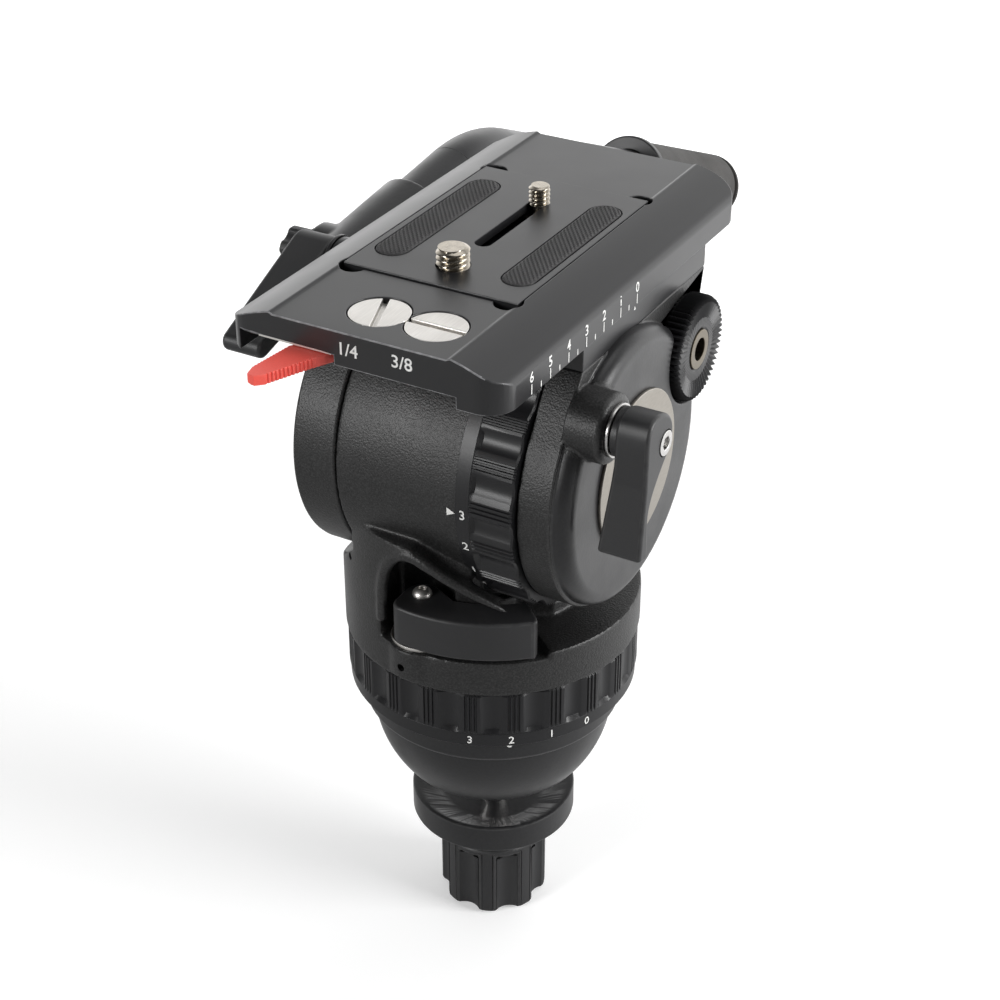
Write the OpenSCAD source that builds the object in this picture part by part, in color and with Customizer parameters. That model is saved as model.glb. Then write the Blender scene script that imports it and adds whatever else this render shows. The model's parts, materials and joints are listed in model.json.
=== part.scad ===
// Fluid video head with a sliding camera plate, a half-ball base and a bent pan bar.
// Origin: centre of the half ball on the pan axis.
// +X is the tilt lever's side, +Y the operator's side, +Z is up.

/* [Half ball and tie-down] */
// Radius of the half ball that sits in a tripod bowl
ball_r = 37.5; // [34:0.5:50]
// Depth of the half ball below its rim
ball_depth = 24; // [18:0.5:28]
// Radius of the tie-down stud
stud_r = 5; // [4:0.5:6]
// Radius of the clamp cup under the bowl
cup_r = 26; // [22:0.5:32]
// Height of the clamp cup
cup_h = 9; // [7:0.5:14]
// Space between half ball and clamp cup for the bowl's wall
bowl_gap = 14; // [10:0.5:18]
// Radius of the tie-down knob
tie_knob_r = 17; // [14:0.5:21]
// Height of the tie-down knob
tie_knob_h = 34; // [26:1:44]

/* [Base and pan drag] */
// Radius of the base plate on the half ball
base_r = 40; // [38:0.5:43]
// Height of the base plate
base_h = 8.4; // [7.5:0.1:11]
// Radius of the pan post
post_r = 12; // [9:0.5:13]
// Thickness of the pan drag ring's wall round its cartridge
pan_ring_wall = 8.5; // [6:0.5:11]
// Step from the pan housing in to the pan drag ring
pan_ring_inset = 0.5; // [0.2:0.1:2]
// Height of the pan drag ring
pan_ring_h = 18.6; // [16:0.2:24]
// Height of the plain number band on the pan drag ring
pan_band_h = 4.6; // [3:0.2:6]

/* [Pan housing] */
// Radius of the pan housing
housing_r = 45; // [44:0.5:47]
// Height of the housing's rim
rim_h = 13.4; // [12.5:0.1:16]
// Space between the rim and the tilt drag ring above it
rim_gap = 5.2; // [5:0.1:8]
// Height of the pedestal's shoulder above the rim
shoulder_h = 33; // [30:0.5:35]
// Height of the arch over the pan lever, above the rim
arch_h = 28.5; // [26:0.5:29]

/* [Tilt drum] */
// Radius of the tilt drum
drum_r = 43.3; // [42.5:0.1:45]
// Place of the drum's left end
drum_left = -26.3; // [-28:0.1:-25]
// Width of the drum
drum_w = 40.4; // [39:0.1:42]
// Thickness of the drum's shell round its cavity
drum_shell = 7.3; // [6.4:0.1:9]
// Wall at the drum's left end
drum_wall = 8; // [7:0.5:9]
// Radius of the tilt axle
axle_r = 9; // [7:0.5:10]
// Outer radius of the tilt bearings
bearing_r = 15; // [13:0.5:17]
// Width of the plain number band on the tilt drag ring
tilt_band_w = 5.8; // [4:0.2:7]
// Width of the ribbed part of the tilt drag ring
tilt_rib_w = 10.5; // [9.5:0.1:12]
// Height of the ribs over the drum's surface
rib_rise = 1.5; // [1:0.1:2]
// Number of finger scoops round each drag ring
scoop_count = 24; // [20:1:28]
// Radius of each finger scoop
scoop_r = 4; // [3.5:0.1:4.5]
// Depth of each finger scoop
scoop_depth = 1.4; // [1:0.1:1.6]
// Width of the plain edge between the number band and the scoops
scoop_edge = 1; // [0.6:0.1:1.6]

/* [Tilting yoke] */
// Step from the slide plate's edge in to the left cheek
left_step = 0.8; // [0:0.1:2]
// Step from the slide plate's edge in to the right cheek
right_step = 0.6; // [0:0.1:2]
// Height of the round boss on the right cheek
cheek_boss_w = 5.2; // [4:0.2:6]
// Radius of the bright disc on the right cheek
cover_r = 23.5; // [18:0.5:25]
// Distance from the tilt axis to the platform's front
plat_front = 24; // [22:0.5:27]
// Distance from the tilt axis to the platform's back
plat_back = 53.4; // [50:0.2:57]
// Thickness of the platform
plat_t = 6.8; // [6.4:0.1:9]
// Height of the dovetail over the platform
dove_h = 6.4; // [5.5:0.1:7]
// Half width of the dovetail at its top
dove_half = 25; // [23:0.5:26]

/* [Rosettes] */
// Outer radius of the toothed rosettes
rosette_r = 15.9; // [14:0.1:17]
// Number of teeth on each rosette
rosette_teeth = 60; // [40:2:72]
// Distance of the rosettes behind the tilt axis
rosette_y = 37; // [36:0.5:39]
// Height of the rosettes over the tilt axis
rosette_rise = 21.5; // [20:0.5:23]
// Thickness of each rosette
rosette_w = 7.5; // [6.5:0.1:9]
// Tapping radius of the right rosette's thread
tap_r = 3.4; // [2.5:0.1:4.2]

/* [Lock levers] */
// Thickness of the lever arms
lever_t = 13; // [11:0.2:15]
// Radius of the tilt lever at its pivot
tilt_lever_r = 8; // [7:0.2:9]
// Length of the tilt lever from pivot to tip
tilt_lever_len = 31; // [26:0.5:36]
// Angle of the tilt lever, measured from straight back
tilt_lever_turn = 246; // [235:1:260]
// Radius of the plate lever at its pivot
plate_lever_r = 6.4; // [5.6:0.1:8]
// Length of the plate lever from pivot to tip
plate_lever_len = 42; // [34:0.5:48]
// Slope of the plate lever, below straight forward
plate_lever_slope = 19; // [10:1:25]
// Height of the pan lever
pan_lever_h = 12.8; // [11:0.2:14]

/* [Slide plate] */
// Width of the slide plate
plate_w = 83.2; // [81.6:0.2:84]
// Length of the slide plate
plate_len = 145; // [143:0.2:160]
// Distance of the plate's front from the tilt axis
plate_front = 69; // [67:0.5:72]
// Height of the slide plate from skirt to rail
plate_h = 13.8; // [13.4:0.1:15]
// Drop from the rails' crest to the flat between them
flat_drop = 0.6; // [0.4:0.1:1.8]
// Half distance between the rails' crests
rail_half = 27; // [26.8:0.1:28]
// Fall of each rail from its crest to the plate's edge
rail_fall = 5.5; // [4:0.1:6]
// Step from the skirts up to the front face's lower edge
front_step = 3.3; // [2:0.1:3.6]
// Corner radius of the plate seen from above
plate_corner = 8; // [5:0.5:10]

/* [Camera plate and screws] */
// Distance of the camera plate's front from the tilt axis
insert_front = 34; // [31:0.5:34.5]
// Length of the camera plate
insert_len = 77.4; // [76:0.2:84]
// Thickness of the camera plate
insert_t = 4.8; // [4.4:0.1:5]
// Radius of the large camera screw's thread, 3/8 inch
big_screw_r = 4.7625; // [4.5:0.0125:5]
// Radius of the small camera screw's thread, 1/4 inch
small_screw_r = 3.175; // [3:0.025:3.5]
// Free length of the camera screws over the camera plate
screw_free = 5; // [4.5:0.1:8]
// Width of the camera plate's slot
slot_w = 5; // [4.4:0.1:5.4]
// Travel of the small camera screw along its slot
slot_travel = 32; // [28:0.5:34]
// Width of each rubber pad
pad_w = 10.2; // [7:0.2:11]
// Length of each rubber pad
pad_len = 59.5; // [50:0.5:62]
// Radius of the spare screws' heads
spare_r = 8.3; // [7.5:0.1:8.6]

/* [Screw key] */
// Length of the key from its pivot to its tip
key_len = 24; // [20:0.5:26]
// Width of the key at its pivot
key_w = 9; // [7:0.2:10]
// Angle by which the key stands out of its notch
key_out = 73; // [40:1:85]

/* [Pan bar] */
// Radius of the pan bar's tube
bar_r = 9.7; // [7:0.1:10]
// Radius of the collar that holds the tube
collar_r = 12; // [11:0.1:13]
// Distance of the bar's axis from the pan axis
bar_x = 72; // [71:0.5:76]
// Length of the straight stretch behind the rosette
bar_straight = 63; // [55:1:110]
// Angle by which the straight stretch rises
bar_rise = 7; // [0:1:15]
// Angle of the bend in the bar
bar_bend = 30; // [10:1:40]
// Radius of the bend in the bar
bar_bend_r = 60; // [40:1:90]
// Length of the sloping stretch of the bar
bar_slope_len = 207; // [150:1:260]
// Radius of the grip
grip_r = 14; // [12:0.5:17]
// Length of the grip
grip_len = 86; // [70:1:110]
// Radius of the clamp knob
clamp_knob_r = 8; // [8:0.5:14]
// Length of the clamp knob
clamp_knob_len = 10; // [10:0.5:18]

/* [Hidden] */
$fn = 64;

// Clearances
gap = 0.3;
run_fit = 0.04;
seat = 0.02;
eps = 0.5;

// Heights, from the half ball up
cup_top = -ball_depth - bowl_gap;
knob_top = cup_top - cup_h;
knob_floor = 5;
stud_end = knob_top - tie_knob_h + knob_floor + gap;
stud_socket = 16;
post_flange_h = 2;
pan_ring_r = housing_r - pan_ring_inset;
pan_core_r = pan_ring_r - pan_ring_wall;
post_flange_r = pan_core_r - 6;
pan_ring_z = base_h + gap;
core_z = base_h + post_flange_h;
housing_z = pan_ring_z + pan_ring_h + gap;
core_top = housing_z - 2 * gap;
rim_z = housing_z + rim_h;
rib_r = drum_r + rib_rise;
band_r = drum_r + gap;
tilt_z = rim_z + rib_r + rim_gap;
plat_z = tilt_z + drum_r - 3.3;
plat_top = plat_z + plat_t;
plate_z = plat_top + gap;
plate_top = plate_z + plate_h;
plate_flat = plate_top - flat_drop;
front_z = plate_z + front_step;
channel_z = plat_top + dove_h + gap;

// Places along the tilt axis
drum_right = drum_left + drum_w;
cavity_left = drum_left + drum_wall;
ring_left = drum_right + gap;
rib_left = ring_left + tilt_band_w;
ring_right = rib_left + tilt_rib_w;
lc_in = drum_left - gap;
lc_out = -plate_w / 2 + left_step;
rc_in = ring_right + gap;
rc_out = plate_w / 2 - right_step;
rc_face = rc_out + cheek_boss_w;
left_cheek_r = drum_r;
right_cheek_r = drum_r - 1.3;
end_plate_right = ring_right - gap;
end_plate_left = drum_right - 8;
bearing_w = drum_wall - 2 * gap;
cavity_r = drum_r - drum_shell;
cartridge_w = 0.3 * drum_w;

// Pan post, nut and bearing
post_bearing_r = post_r + 8;
pan_bearing_h = 6;
shaft_hole_r = post_r + 2;
nut_r = post_r + 3.5;
nut_h = 6;
nut_pocket_r = nut_r + 1.5;
post_top = rim_z + nut_h + 1;
base_screw_ring = 0.6 * base_r;
base_screw_r = 2.5;
base_screw_head = 4.3;
base_head_h = 3;
base_screw_len = 0.4 * ball_depth;

// Pan lever
pan_pivot = [-3, -(housing_r - 9)];
pan_pivot_r = 9;
lever_floor = rim_z - 1.8;
pan_washer_h = 1.2;
pan_lever_z = lever_floor + pan_washer_h + gap;
lever_top = pan_lever_z + pan_lever_h + 2 * gap;
brow_h = 3.4;
pan_lever_out = housing_r + 1;
pan_lever_in = housing_r - 10;
pan_lever_from = -94;
pan_lever_to = -44;
recess_in = pan_lever_in - 1;
recess_from = -107;
pivot_boss_r = 10.5;
pan_screw_r = 2.5;
pan_screw_head = 4;
shoe_r = 2.4;
shoe_z = (lever_floor + housing_z + pan_bearing_h) / 2;

// Level on the rim
level_r = 7;
level_h = 4.6;
level_place = [drum_right + level_r + 1.4, 32];
vial_r = level_r - 1.4;

// Rosettes and the pan bar
rosette_z = tilt_z + rosette_rise;
rosette_root = rosette_r - 1;
rr_face = rc_out + rosette_w;
lr_face = lc_out - rosette_w;
insert_r = 6;
bolt_r = 4;
clamp_face = lr_face - gap;
clamp_disc_w = 6;
collar_len = 3 * collar_r;
tube_start = bolt_r + 6;
knob_seat = -bar_x - collar_r - gap;
bolt_tip = lc_out + 3;
grip_bore = bar_r + seat;
grip_ring_w = 4;
cap_len = 8;
cap_round = 5;
grip_from = bar_slope_len - grip_len - cap_len;

// Tilt lever and plate lever
tilt_pivot = [-0.566 * drum_r, tilt_z + 0.6 * drum_r];
tilt_boss_r = 10;
tilt_boss_w = 5.3;
tilt_boss_end = rc_face + tilt_boss_w;
washer_t = 1.2;
tilt_lever_x = tilt_boss_end + washer_t + gap;
lever_tip_r = 3;
lever_screw_r = 2.4;
lever_screw_head = 3.6;
head_depth = 3.6;
head_proud = 0.3;
socket_r = 2;
socket_d = 1.6;
plate_pivot = [-2, plat_z + plat_t / 2];
plate_boss_r = 7;
plate_boss_w = 7.3;
plate_boss_neck = plat_t / 2 - 0.2;
plate_boss_in = -plate_w / 2 - 2 * gap;
plate_boss_end = plate_boss_in - plate_boss_w;
plate_lever_x = plate_boss_end - washer_t - gap;
screw_reach = 9;

// Slide plate
plate_half = plate_w / 2;
plate_back = plate_len - plate_front;
flat_half = rail_half - 1.25;
shoulder_z = plate_top - rail_fall;
shoulder_r = 3;
rail_slope = atan2(rail_fall, plate_half - rail_half);
dove_lean = 3;
dove_front = 14.5;
block_back = dove_front - gap - 60;
notch_half = 28.5;

// Camera plate
insert_half = rail_half - gap;
insert_back = insert_len - insert_front;
insert_z = plate_top - insert_t;
pad_drop = 1;
pad_proud = 0.6;
pad_edge = 1.9;
pad_x = insert_half - pad_w / 2 - pad_edge;
pad_mid = (insert_back - insert_front) / 2;
big_screw_y = -21.3;
small_screw_y = 27.2;
neck_r = slot_w / 2 - 0.2;
big_neck_r = big_screw_r - 0.6;
screw_head_h = 1.5;
big_head_r = 7;
small_head_r = 5.4;
groove_h = screw_head_h + 2 * gap;
relief_r = 4;

// Spare screws
spare_left = [-2.6, -(plate_front - 15)];
spare_right = [spare_left[0] + 2 * spare_r + 0.4, spare_left[1]];
spare_floor = plate_flat - 3.2;
spare_left_turn = 110;
spare_right_turn = 0;
spare_shank = 3.4;
spare_sunk = 0.2;
driver_slot_w = 1.8;
driver_slot_d = 1.4;

// Screw key
key_pivot = [-12.5, -(plate_front - 4.5)];
key_t = 3;
key_z = front_z - 0.5;
key_notch_z = key_z + key_t + gap;
key_notch_depth = 13;
key_notch_left = key_pivot[0] - key_len - 2 * gap;
key_notch_right = key_pivot[0] + key_w / 2 + 2 * gap;
key_pin_r = 1.5;

// Points on an arc about c, from angle a0 to a1
function arc(c, r, a0, a1, n = 8) =
    [for (i = [0:n]) let (a = a0 + (a1 - a0) * i / n) c + r * [cos(a), sin(a)]];

// The same outline seen in a mirror across the second axis, walked the other way
function mirrored(pts) = [for (i = [len(pts) - 1:-1:0]) [-pts[i][0], pts[i][1]]];

// Outline of an arm that tapers between two round ends
function arm_outline(r0, r1, reach) =
    let (a = acos((r0 - r1) / reach))
    concat(arc([0, 0], r0, a, 360 - a, 20), arc([reach, 0], r1, -a, a, 10));

// Outline of a rectangle with round corners
function round_box(x0, x1, y0, y1, r) = concat(
    arc([x1 - r, y0 + r], r, -90, 0), arc([x1 - r, y1 - r], r, 0, 90),
    arc([x0 + r, y1 - r], r, 90, 180), arc([x0 + r, y0 + r], r, 180, 270));

// Point where a line from p touches a circle of radius r about c, on the chosen side
function touch(c, r, p, side) =
    let (d = norm(p - c), a = atan2(p[1] - c[1], p[0] - c[0]) + side * acos(r / d))
    c + r * [cos(a), sin(a)];

// Outline with teeth all round
function toothed(r_root, r_tip, n) =
    [for (i = [0:2 * n - 1]) let (r = i % 2 == 0 ? r_tip : r_root) r * [cos(180 * i / n), sin(180 * i / n)]];

// A flat shape drawn in Y and Z, drawn out along X
module along_x(x0, x1) {
    translate([x0, 0, 0]) rotate([90, 0, 90]) linear_extrude(x1 - x0) children();
}

// A flat shape drawn in X and Z, drawn out along Y
module along_y(y0, y1) {
    translate([0, y1, 0]) rotate([90, 0, 0]) linear_extrude(y1 - y0) children();
}

// A flat shape drawn out along Z
module along_z(z0, z1) {
    translate([0, 0, z0]) linear_extrude(z1 - z0) children();
}

// A disc in a flat shape
module dot(p, r) {
    translate(p) circle(r);
}

// Round bar along X through a place in Y and Z
module rod_x(p, r, x0, x1) {
    along_x(x0, x1) dot(p, r);
}

// Round bar along Z through a place in X and Y
module rod_z(p, r, z0, z1) {
    along_z(z0, z1) dot(p, r);
}

// Box from one corner to the other
module block(p0, p1) {
    translate(p0) cube(p1 - p0);
}

// Finger scoops round a ring, drawn along Z
module scoops(r, z0, z1) {
    for (i = [0:scoop_count - 1])
        rotate(360 * i / scoop_count) rod_z([r + scoop_r - scoop_depth, 0], scoop_r, z0, z1);
}

// Turns a shape made about Z so that it lies about the tilt axis
module on_tilt_axis() {
    translate([0, 0, tilt_z]) rotate([90, 0, 90]) children();
}

// Carries a shape made about Y to the pan bar, from the rosette back
module on_bar() {
    translate([-bar_x, rosette_y, rosette_z]) rotate([bar_rise, 0, 0]) children();
}

// Carries a shape made about Y from the bar's straight stretch to its sloping one
module on_slope() {
    translate([0, bar_straight, -bar_bend_r]) rotate([-bar_bend, 0, 0])
        translate([0, 0, bar_bend_r]) children();
}

module half_ball() {
    color("dimgray") difference() {
        sphere(ball_r);
        block([-ball_r, -ball_r, 0] - [1, 1, 0], [ball_r, ball_r, ball_r] + [1, 1, 1]);
        block([-ball_r - 1, -ball_r - 1, -ball_r - 1], [ball_r + 1, ball_r + 1, -ball_depth]);
        rod_z([0, 0], stud_r + seat, -ball_depth - eps, -ball_depth + stud_socket);
        for (i = [0:3]) rotate(45 + 90 * i)
            rod_z([base_screw_ring, 0], base_screw_r + seat, -base_screw_len - eps, eps);
    }
}

module base_plate() {
    color("black") difference() {
        rod_z([0, 0], base_r, 0, base_h);
        for (i = [0:3]) rotate(45 + 90 * i) {
            rod_z([base_screw_ring, 0], base_screw_r + seat, -eps, base_h + eps);
            rod_z([base_screw_ring, 0], base_screw_head + seat, base_h - base_head_h, base_h + eps);
        }
    }
}

module base_screws() {
    color("silver") for (i = [0:3]) rotate(45 + 90 * i) {
        rod_z([base_screw_ring, 0], base_screw_r, -base_screw_len, base_h - base_head_h + seat);
        rod_z([base_screw_ring, 0], base_screw_head, base_h - base_head_h + seat, base_h - seat);
    }
}

module pan_post() {
    color("silver") {
        rod_z([0, 0], post_flange_r, base_h, core_z);
        rod_z([0, 0], post_r, core_z, post_top);
    }
}

module pan_nut() {
    color("silver") difference() {
        rod_z([0, 0], nut_r, rim_z + gap, rim_z + nut_h);
        rod_z([0, 0], post_r + seat, rim_z - eps, rim_z + nut_h + eps);
    }
}

module pan_drag_cartridge() {
    color("slategray") difference() {
        rod_z([0, 0], pan_core_r, core_z, core_top);
        rod_z([0, 0], post_r + 3, core_z - eps, core_top + eps);
    }
}

module tie_down_stud() {
    color("silver") rod_z([0, 0], stud_r, stud_end, -ball_depth + stud_socket - seat);
}

module clamp_cup() {
    cup_rim = 4;
    color("dimgray") difference() {
        rod_z([0, 0], cup_r, knob_top, cup_top);
        translate([0, 0, cup_top]) cylinder(h = 2 * (cup_h - cup_rim), r1 = 0.55 * cup_r, r2 = 1.35 * cup_r,
            center = true);
        rod_z([0, 0], stud_r + run_fit, knob_top - eps, cup_top + eps);
    }
}

module tie_down_knob() {
    lobes = 8;
    lobe_r = 5;
    collar_h = 8;
    color("black") difference() {
        union() {
            rod_z([0, 0], tie_knob_r - 4, knob_top - collar_h, knob_top);
            rod_z([0, 0], tie_knob_r, knob_top - tie_knob_h, knob_top - collar_h);
        }
        rod_z([0, 0], stud_r + run_fit, stud_end - gap, knob_top + eps);
        for (i = [0:lobes - 1]) rotate(360 * i / lobes)
            rod_z([tie_knob_r + lobe_r - 2.2, 0], lobe_r, knob_top - tie_knob_h - eps,
                knob_top - collar_h - 3);
    }
}

module pan_drag_ring() {
    color("black") difference() {
        union() {
            rod_z([0, 0], pan_ring_r - 0.4, pan_ring_z, pan_ring_z + pan_band_h);
            rod_z([0, 0], pan_ring_r, pan_ring_z + pan_band_h, pan_ring_z + pan_ring_h);
        }
        rod_z([0, 0], pan_core_r + run_fit, pan_ring_z - eps, pan_ring_z + pan_ring_h + eps);
        scoops(pan_ring_r, pan_ring_z + pan_band_h + scoop_edge, pan_ring_z + pan_ring_h + eps);
    }
}

// Front view of the pedestal: a broad shoulder on the left that falls to the rim on the right
module pedestal_outline() {
    polygon([
        [-housing_r, rim_z - eps], [-housing_r, rim_z + shoulder_h - 15],
        [-housing_r + 12, rim_z + shoulder_h - 3], [drum_left, rim_z + shoulder_h],
        [-2, rim_z + shoulder_h], [drum_right, rim_z + shoulder_h - 7], [ring_right, lever_top + brow_h],
        [rc_in + 6, rim_z - eps]
    ]);
}

// Front view of the arched recess that the pan lever lies in
module arch_outline() {
    left = housing_r * sin(recess_from + 90);
    spring_z = rim_z + arch_h - 10;
    polygon(concat(
        [[housing_r + 4, lever_floor], [housing_r + 4, lever_top], [ring_right, lever_top],
            [drum_right, rim_z + arch_h - 6]],
        arc([left + 10, spring_z], 10, 70, 180),
        [[left, lever_floor]]));
}

module pedestal() {
    difference() {
        intersection() {
            along_y(-housing_r - 1, 0) pedestal_outline();
            rod_z([0, 0], housing_r, housing_z, tilt_z);
        }
        rod_x([0, tilt_z], left_cheek_r + 3.5, -housing_r - 1, drum_left);
        rod_x([0, tilt_z], rib_r + 1.5, drum_right, housing_r + 1);
    }
    intersection() {
        block([drum_left, 0, housing_z], [drum_right, housing_r, tilt_z - 15]);
        rod_z([0, 0], housing_r, housing_z, tilt_z);
    }
}

module lever_recess() {
    intersection() {
        along_y(-housing_r - 3, 0) arch_outline();
        along_z(lever_floor, tilt_z) difference() {
            circle(housing_r + 3);
            circle(recess_in);
            polygon([[0, 0], [0, housing_r + 9], [2 * housing_r, housing_r + 9],
                2 * housing_r * [cos(pan_lever_to + 5), sin(pan_lever_to + 5)]]);
        }
    }
    rod_z(pan_pivot, pan_pivot_r + 2 * gap, lever_floor, rim_z + arch_h - 9);
}

module main_body() {
    color("black") difference() {
        union() {
            rod_z([0, 0], housing_r, housing_z, rim_z);
            difference() {
                pedestal();
                lever_recess();
            }
            rod_z(pan_pivot, pivot_boss_r, housing_z + 1.5, lever_floor);
            rod_x([0, tilt_z], drum_r, drum_left, drum_right);
        }
        lever_recess();
        rod_x([0, tilt_z], cavity_r, cavity_left, drum_right + eps);
        rod_x([0, tilt_z], bearing_r + seat, drum_left - eps, cavity_left + eps);
        rod_z([0, 0], post_bearing_r + seat, housing_z - eps, housing_z + pan_bearing_h);
        rod_z([0, 0], shaft_hole_r, housing_z, rim_z + eps);
        rod_z([0, 0], nut_pocket_r, rim_z, post_top + 1);
        rod_z(pan_pivot, pan_screw_r + run_fit, housing_z + 2, lever_floor + eps);
        translate([0, 0, shoe_z]) rotate([90, 0, 0])
            cylinder(r = shoe_r + seat, h = recess_in - 6);
    }
}

module pan_bearing() {
    color("silver") difference() {
        rod_z([0, 0], post_bearing_r, housing_z + gap, housing_z + pan_bearing_h - seat);
        rod_z([0, 0], post_r + run_fit, housing_z, housing_z + pan_bearing_h + eps);
    }
}

module pan_brake_shoe() {
    color("goldenrod") translate([0, -post_r - gap, shoe_z]) rotate([90, 0, 0])
        cylinder(r = shoe_r, h = recess_in - 6 - post_r - 2 * gap);
}

module drum_end_plate() {
    color("gray") difference() {
        rod_x([0, tilt_z], cavity_r - run_fit, end_plate_left, end_plate_right);
        rod_x([0, tilt_z], axle_r + 3, end_plate_left - eps, end_plate_right);
        rod_x([0, tilt_z], bearing_r + seat, end_plate_right - drum_wall, end_plate_right + eps);
    }
}

// Ball bearing about the tilt axle, from its left face
module tilt_bearing(x) {
    color("silver") difference() {
        rod_x([0, tilt_z], bearing_r, x, x + bearing_w);
        rod_x([0, tilt_z], axle_r + run_fit, x - eps, x + bearing_w + eps);
    }
}

module left_tilt_bearing() {
    tilt_bearing(drum_left + gap);
}

module right_tilt_bearing() {
    tilt_bearing(end_plate_right - drum_wall + gap);
}

module tilt_drag_cartridge() {
    color("slategray") difference() {
        rod_x([0, tilt_z], cavity_r - run_fit, end_plate_left - cartridge_w, end_plate_left - seat);
        rod_x([0, tilt_z], axle_r + 2, end_plate_left - cartridge_w - eps, end_plate_left + eps);
    }
}

module counterbalance_spring() {
    turns = 4;
    wire_r = 1.2;
    coil_r = cavity_r - wire_r - gap;
    pitch = 2 * wire_r + 0.1;
    color("silver") for (i = [0:turns - 1]) translate([cavity_left + wire_r + seat + i * pitch, 0, tilt_z])
        rotate([0, 90, 0]) rotate_extrude() translate([coil_r, 0]) circle(wire_r, $fn = 24);
}

module level_holder() {
    color("black") difference() {
        rod_z(level_place, level_r, rim_z, rim_z + level_h);
        rod_z(level_place, vial_r + seat, rim_z + 1, rim_z + level_h + eps);
    }
}

module level_vial() {
    color("yellowgreen") rod_z(level_place, vial_r, rim_z + 1, rim_z + level_h - 0.4);
}

module pan_lever_washer() {
    color("silver") difference() {
        rod_z(pan_pivot, pan_pivot_r, lever_floor, lever_floor + pan_washer_h);
        rod_z(pan_pivot, pan_screw_r + run_fit, lever_floor - eps, lever_floor + pan_washer_h + eps);
    }
}

module pan_lock_lever() {
    top = pan_lever_z + pan_lever_h;
    reach = 2 * housing_r;
    color("dimgray") difference() {
        union() {
            along_z(pan_lever_z, top) intersection() {
                difference() {
                    circle(pan_lever_out);
                    circle(pan_lever_in);
                }
                polygon([[0, 0], reach * [cos(pan_lever_from), sin(pan_lever_from)], [reach, -2 * reach],
                    reach * [cos(pan_lever_to), sin(pan_lever_to)]]);
            }
            rod_z(pan_pivot, pan_pivot_r, pan_lever_z, top);
        }
        rod_z(pan_pivot, pan_screw_r + seat, pan_lever_z - eps, top + eps);
        rod_z(pan_pivot, pan_screw_head + 0.4, top - head_depth, top + eps);
    }
}

module pan_lever_screw() {
    top = pan_lever_z + pan_lever_h - head_depth;
    color("silver") difference() {
        union() {
            rod_z(pan_pivot, pan_screw_r, housing_z + 2 + gap, top + seat);
            rod_z(pan_pivot, pan_screw_head, top + seat, top + head_depth + head_proud);
        }
        rod_z(pan_pivot, socket_r, top + head_depth - socket_d, top + head_depth + 1, $fn = 6);
    }
}

module tilt_drag_ring() {
    color("black") on_tilt_axis() difference() {
        union() {
            rod_z([0, 0], band_r, ring_left, rib_left);
            rod_z([0, 0], rib_r, rib_left, ring_right);
        }
        rod_z([0, 0], cavity_r + run_fit, ring_left - eps, ring_right + eps);
        scoops(rib_r, rib_left + scoop_edge, ring_right + eps);
    }
}

module dovetail_outline() {
    polygon([[-dove_half + dove_lean, plat_top - eps], [dove_half - dove_lean, plat_top - eps],
        [dove_half - dove_lean, plat_top], [dove_half, plat_top + dove_h],
        [-dove_half, plat_top + dove_h], [-dove_half + dove_lean, plat_top]]);
}

// Places of the four screws that hold the platform on the cheeks
cheek_screw_places = [
    for (x = [(lc_in + lc_out) / 2, (rc_in + rc_out) / 2], y = [-10, rosette_y - 14]) [x, y]
];
cheek_screw_r = 2.2;
cheek_screw_head = 3.6;
cheek_screw_len = 12;

module platform() {
    color("black") difference() {
        union() {
            block([lc_out, -plat_front, plat_z], [rc_out, plat_back, plat_top]);
            along_y(dove_front, plat_back) dovetail_outline();
        }
        rod_x([0, tilt_z], drum_r + 2 * gap, lc_in - eps, ring_left);
        rod_x([0, tilt_z], rib_r + 2 * gap, ring_left, rc_in + eps);
        rod_x(plate_pivot, lever_screw_r + run_fit, lc_out - eps, lc_out + screw_reach);
        for (p = cheek_screw_places) {
            rod_z(p, cheek_screw_r + seat, plat_z - eps, plat_top + eps);
            rod_z(p, cheek_screw_head + seat, plat_top - 3, plat_top + eps);
        }
    }
}

module cheek_screws() {
    color("silver") for (p = cheek_screw_places) {
        rod_z(p, cheek_screw_r, plat_z - cheek_screw_len, plat_top - 3 + seat);
        rod_z(p, cheek_screw_head, plat_top - 3 + seat, plat_top - seat);
    }
}

// Side view of a cheek: a disc about the tilt axis that widens up to the platform
module cheek_outline(r) {
    hub = [0, tilt_z];
    front = [-plat_front, plat_z];
    back = [plat_back, plat_z];
    circle_front = touch(hub, r, front, 1);
    circle_back = touch(hub, r, back, -1);
    intersection() {
        dot(hub, r);
        translate([-2 * r, plat_z - 4 * r]) square([4 * r, 4 * r]);
    }
    polygon([circle_front, hub, circle_back, back, front]);
}

module left_cheek() {
    color("black") difference() {
        along_x(lc_out, lc_in) cheek_outline(left_cheek_r);
        rod_x([0, tilt_z], axle_r + seat, lc_out + 3, lc_in + eps);
        rod_x([rosette_y, rosette_z], insert_r + seat, lc_out - eps, lc_out + 6);
        for (p = cheek_screw_places)
            rod_z(p, cheek_screw_r + seat, plat_z - cheek_screw_len - 1, plat_z + eps);
    }
}

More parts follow.
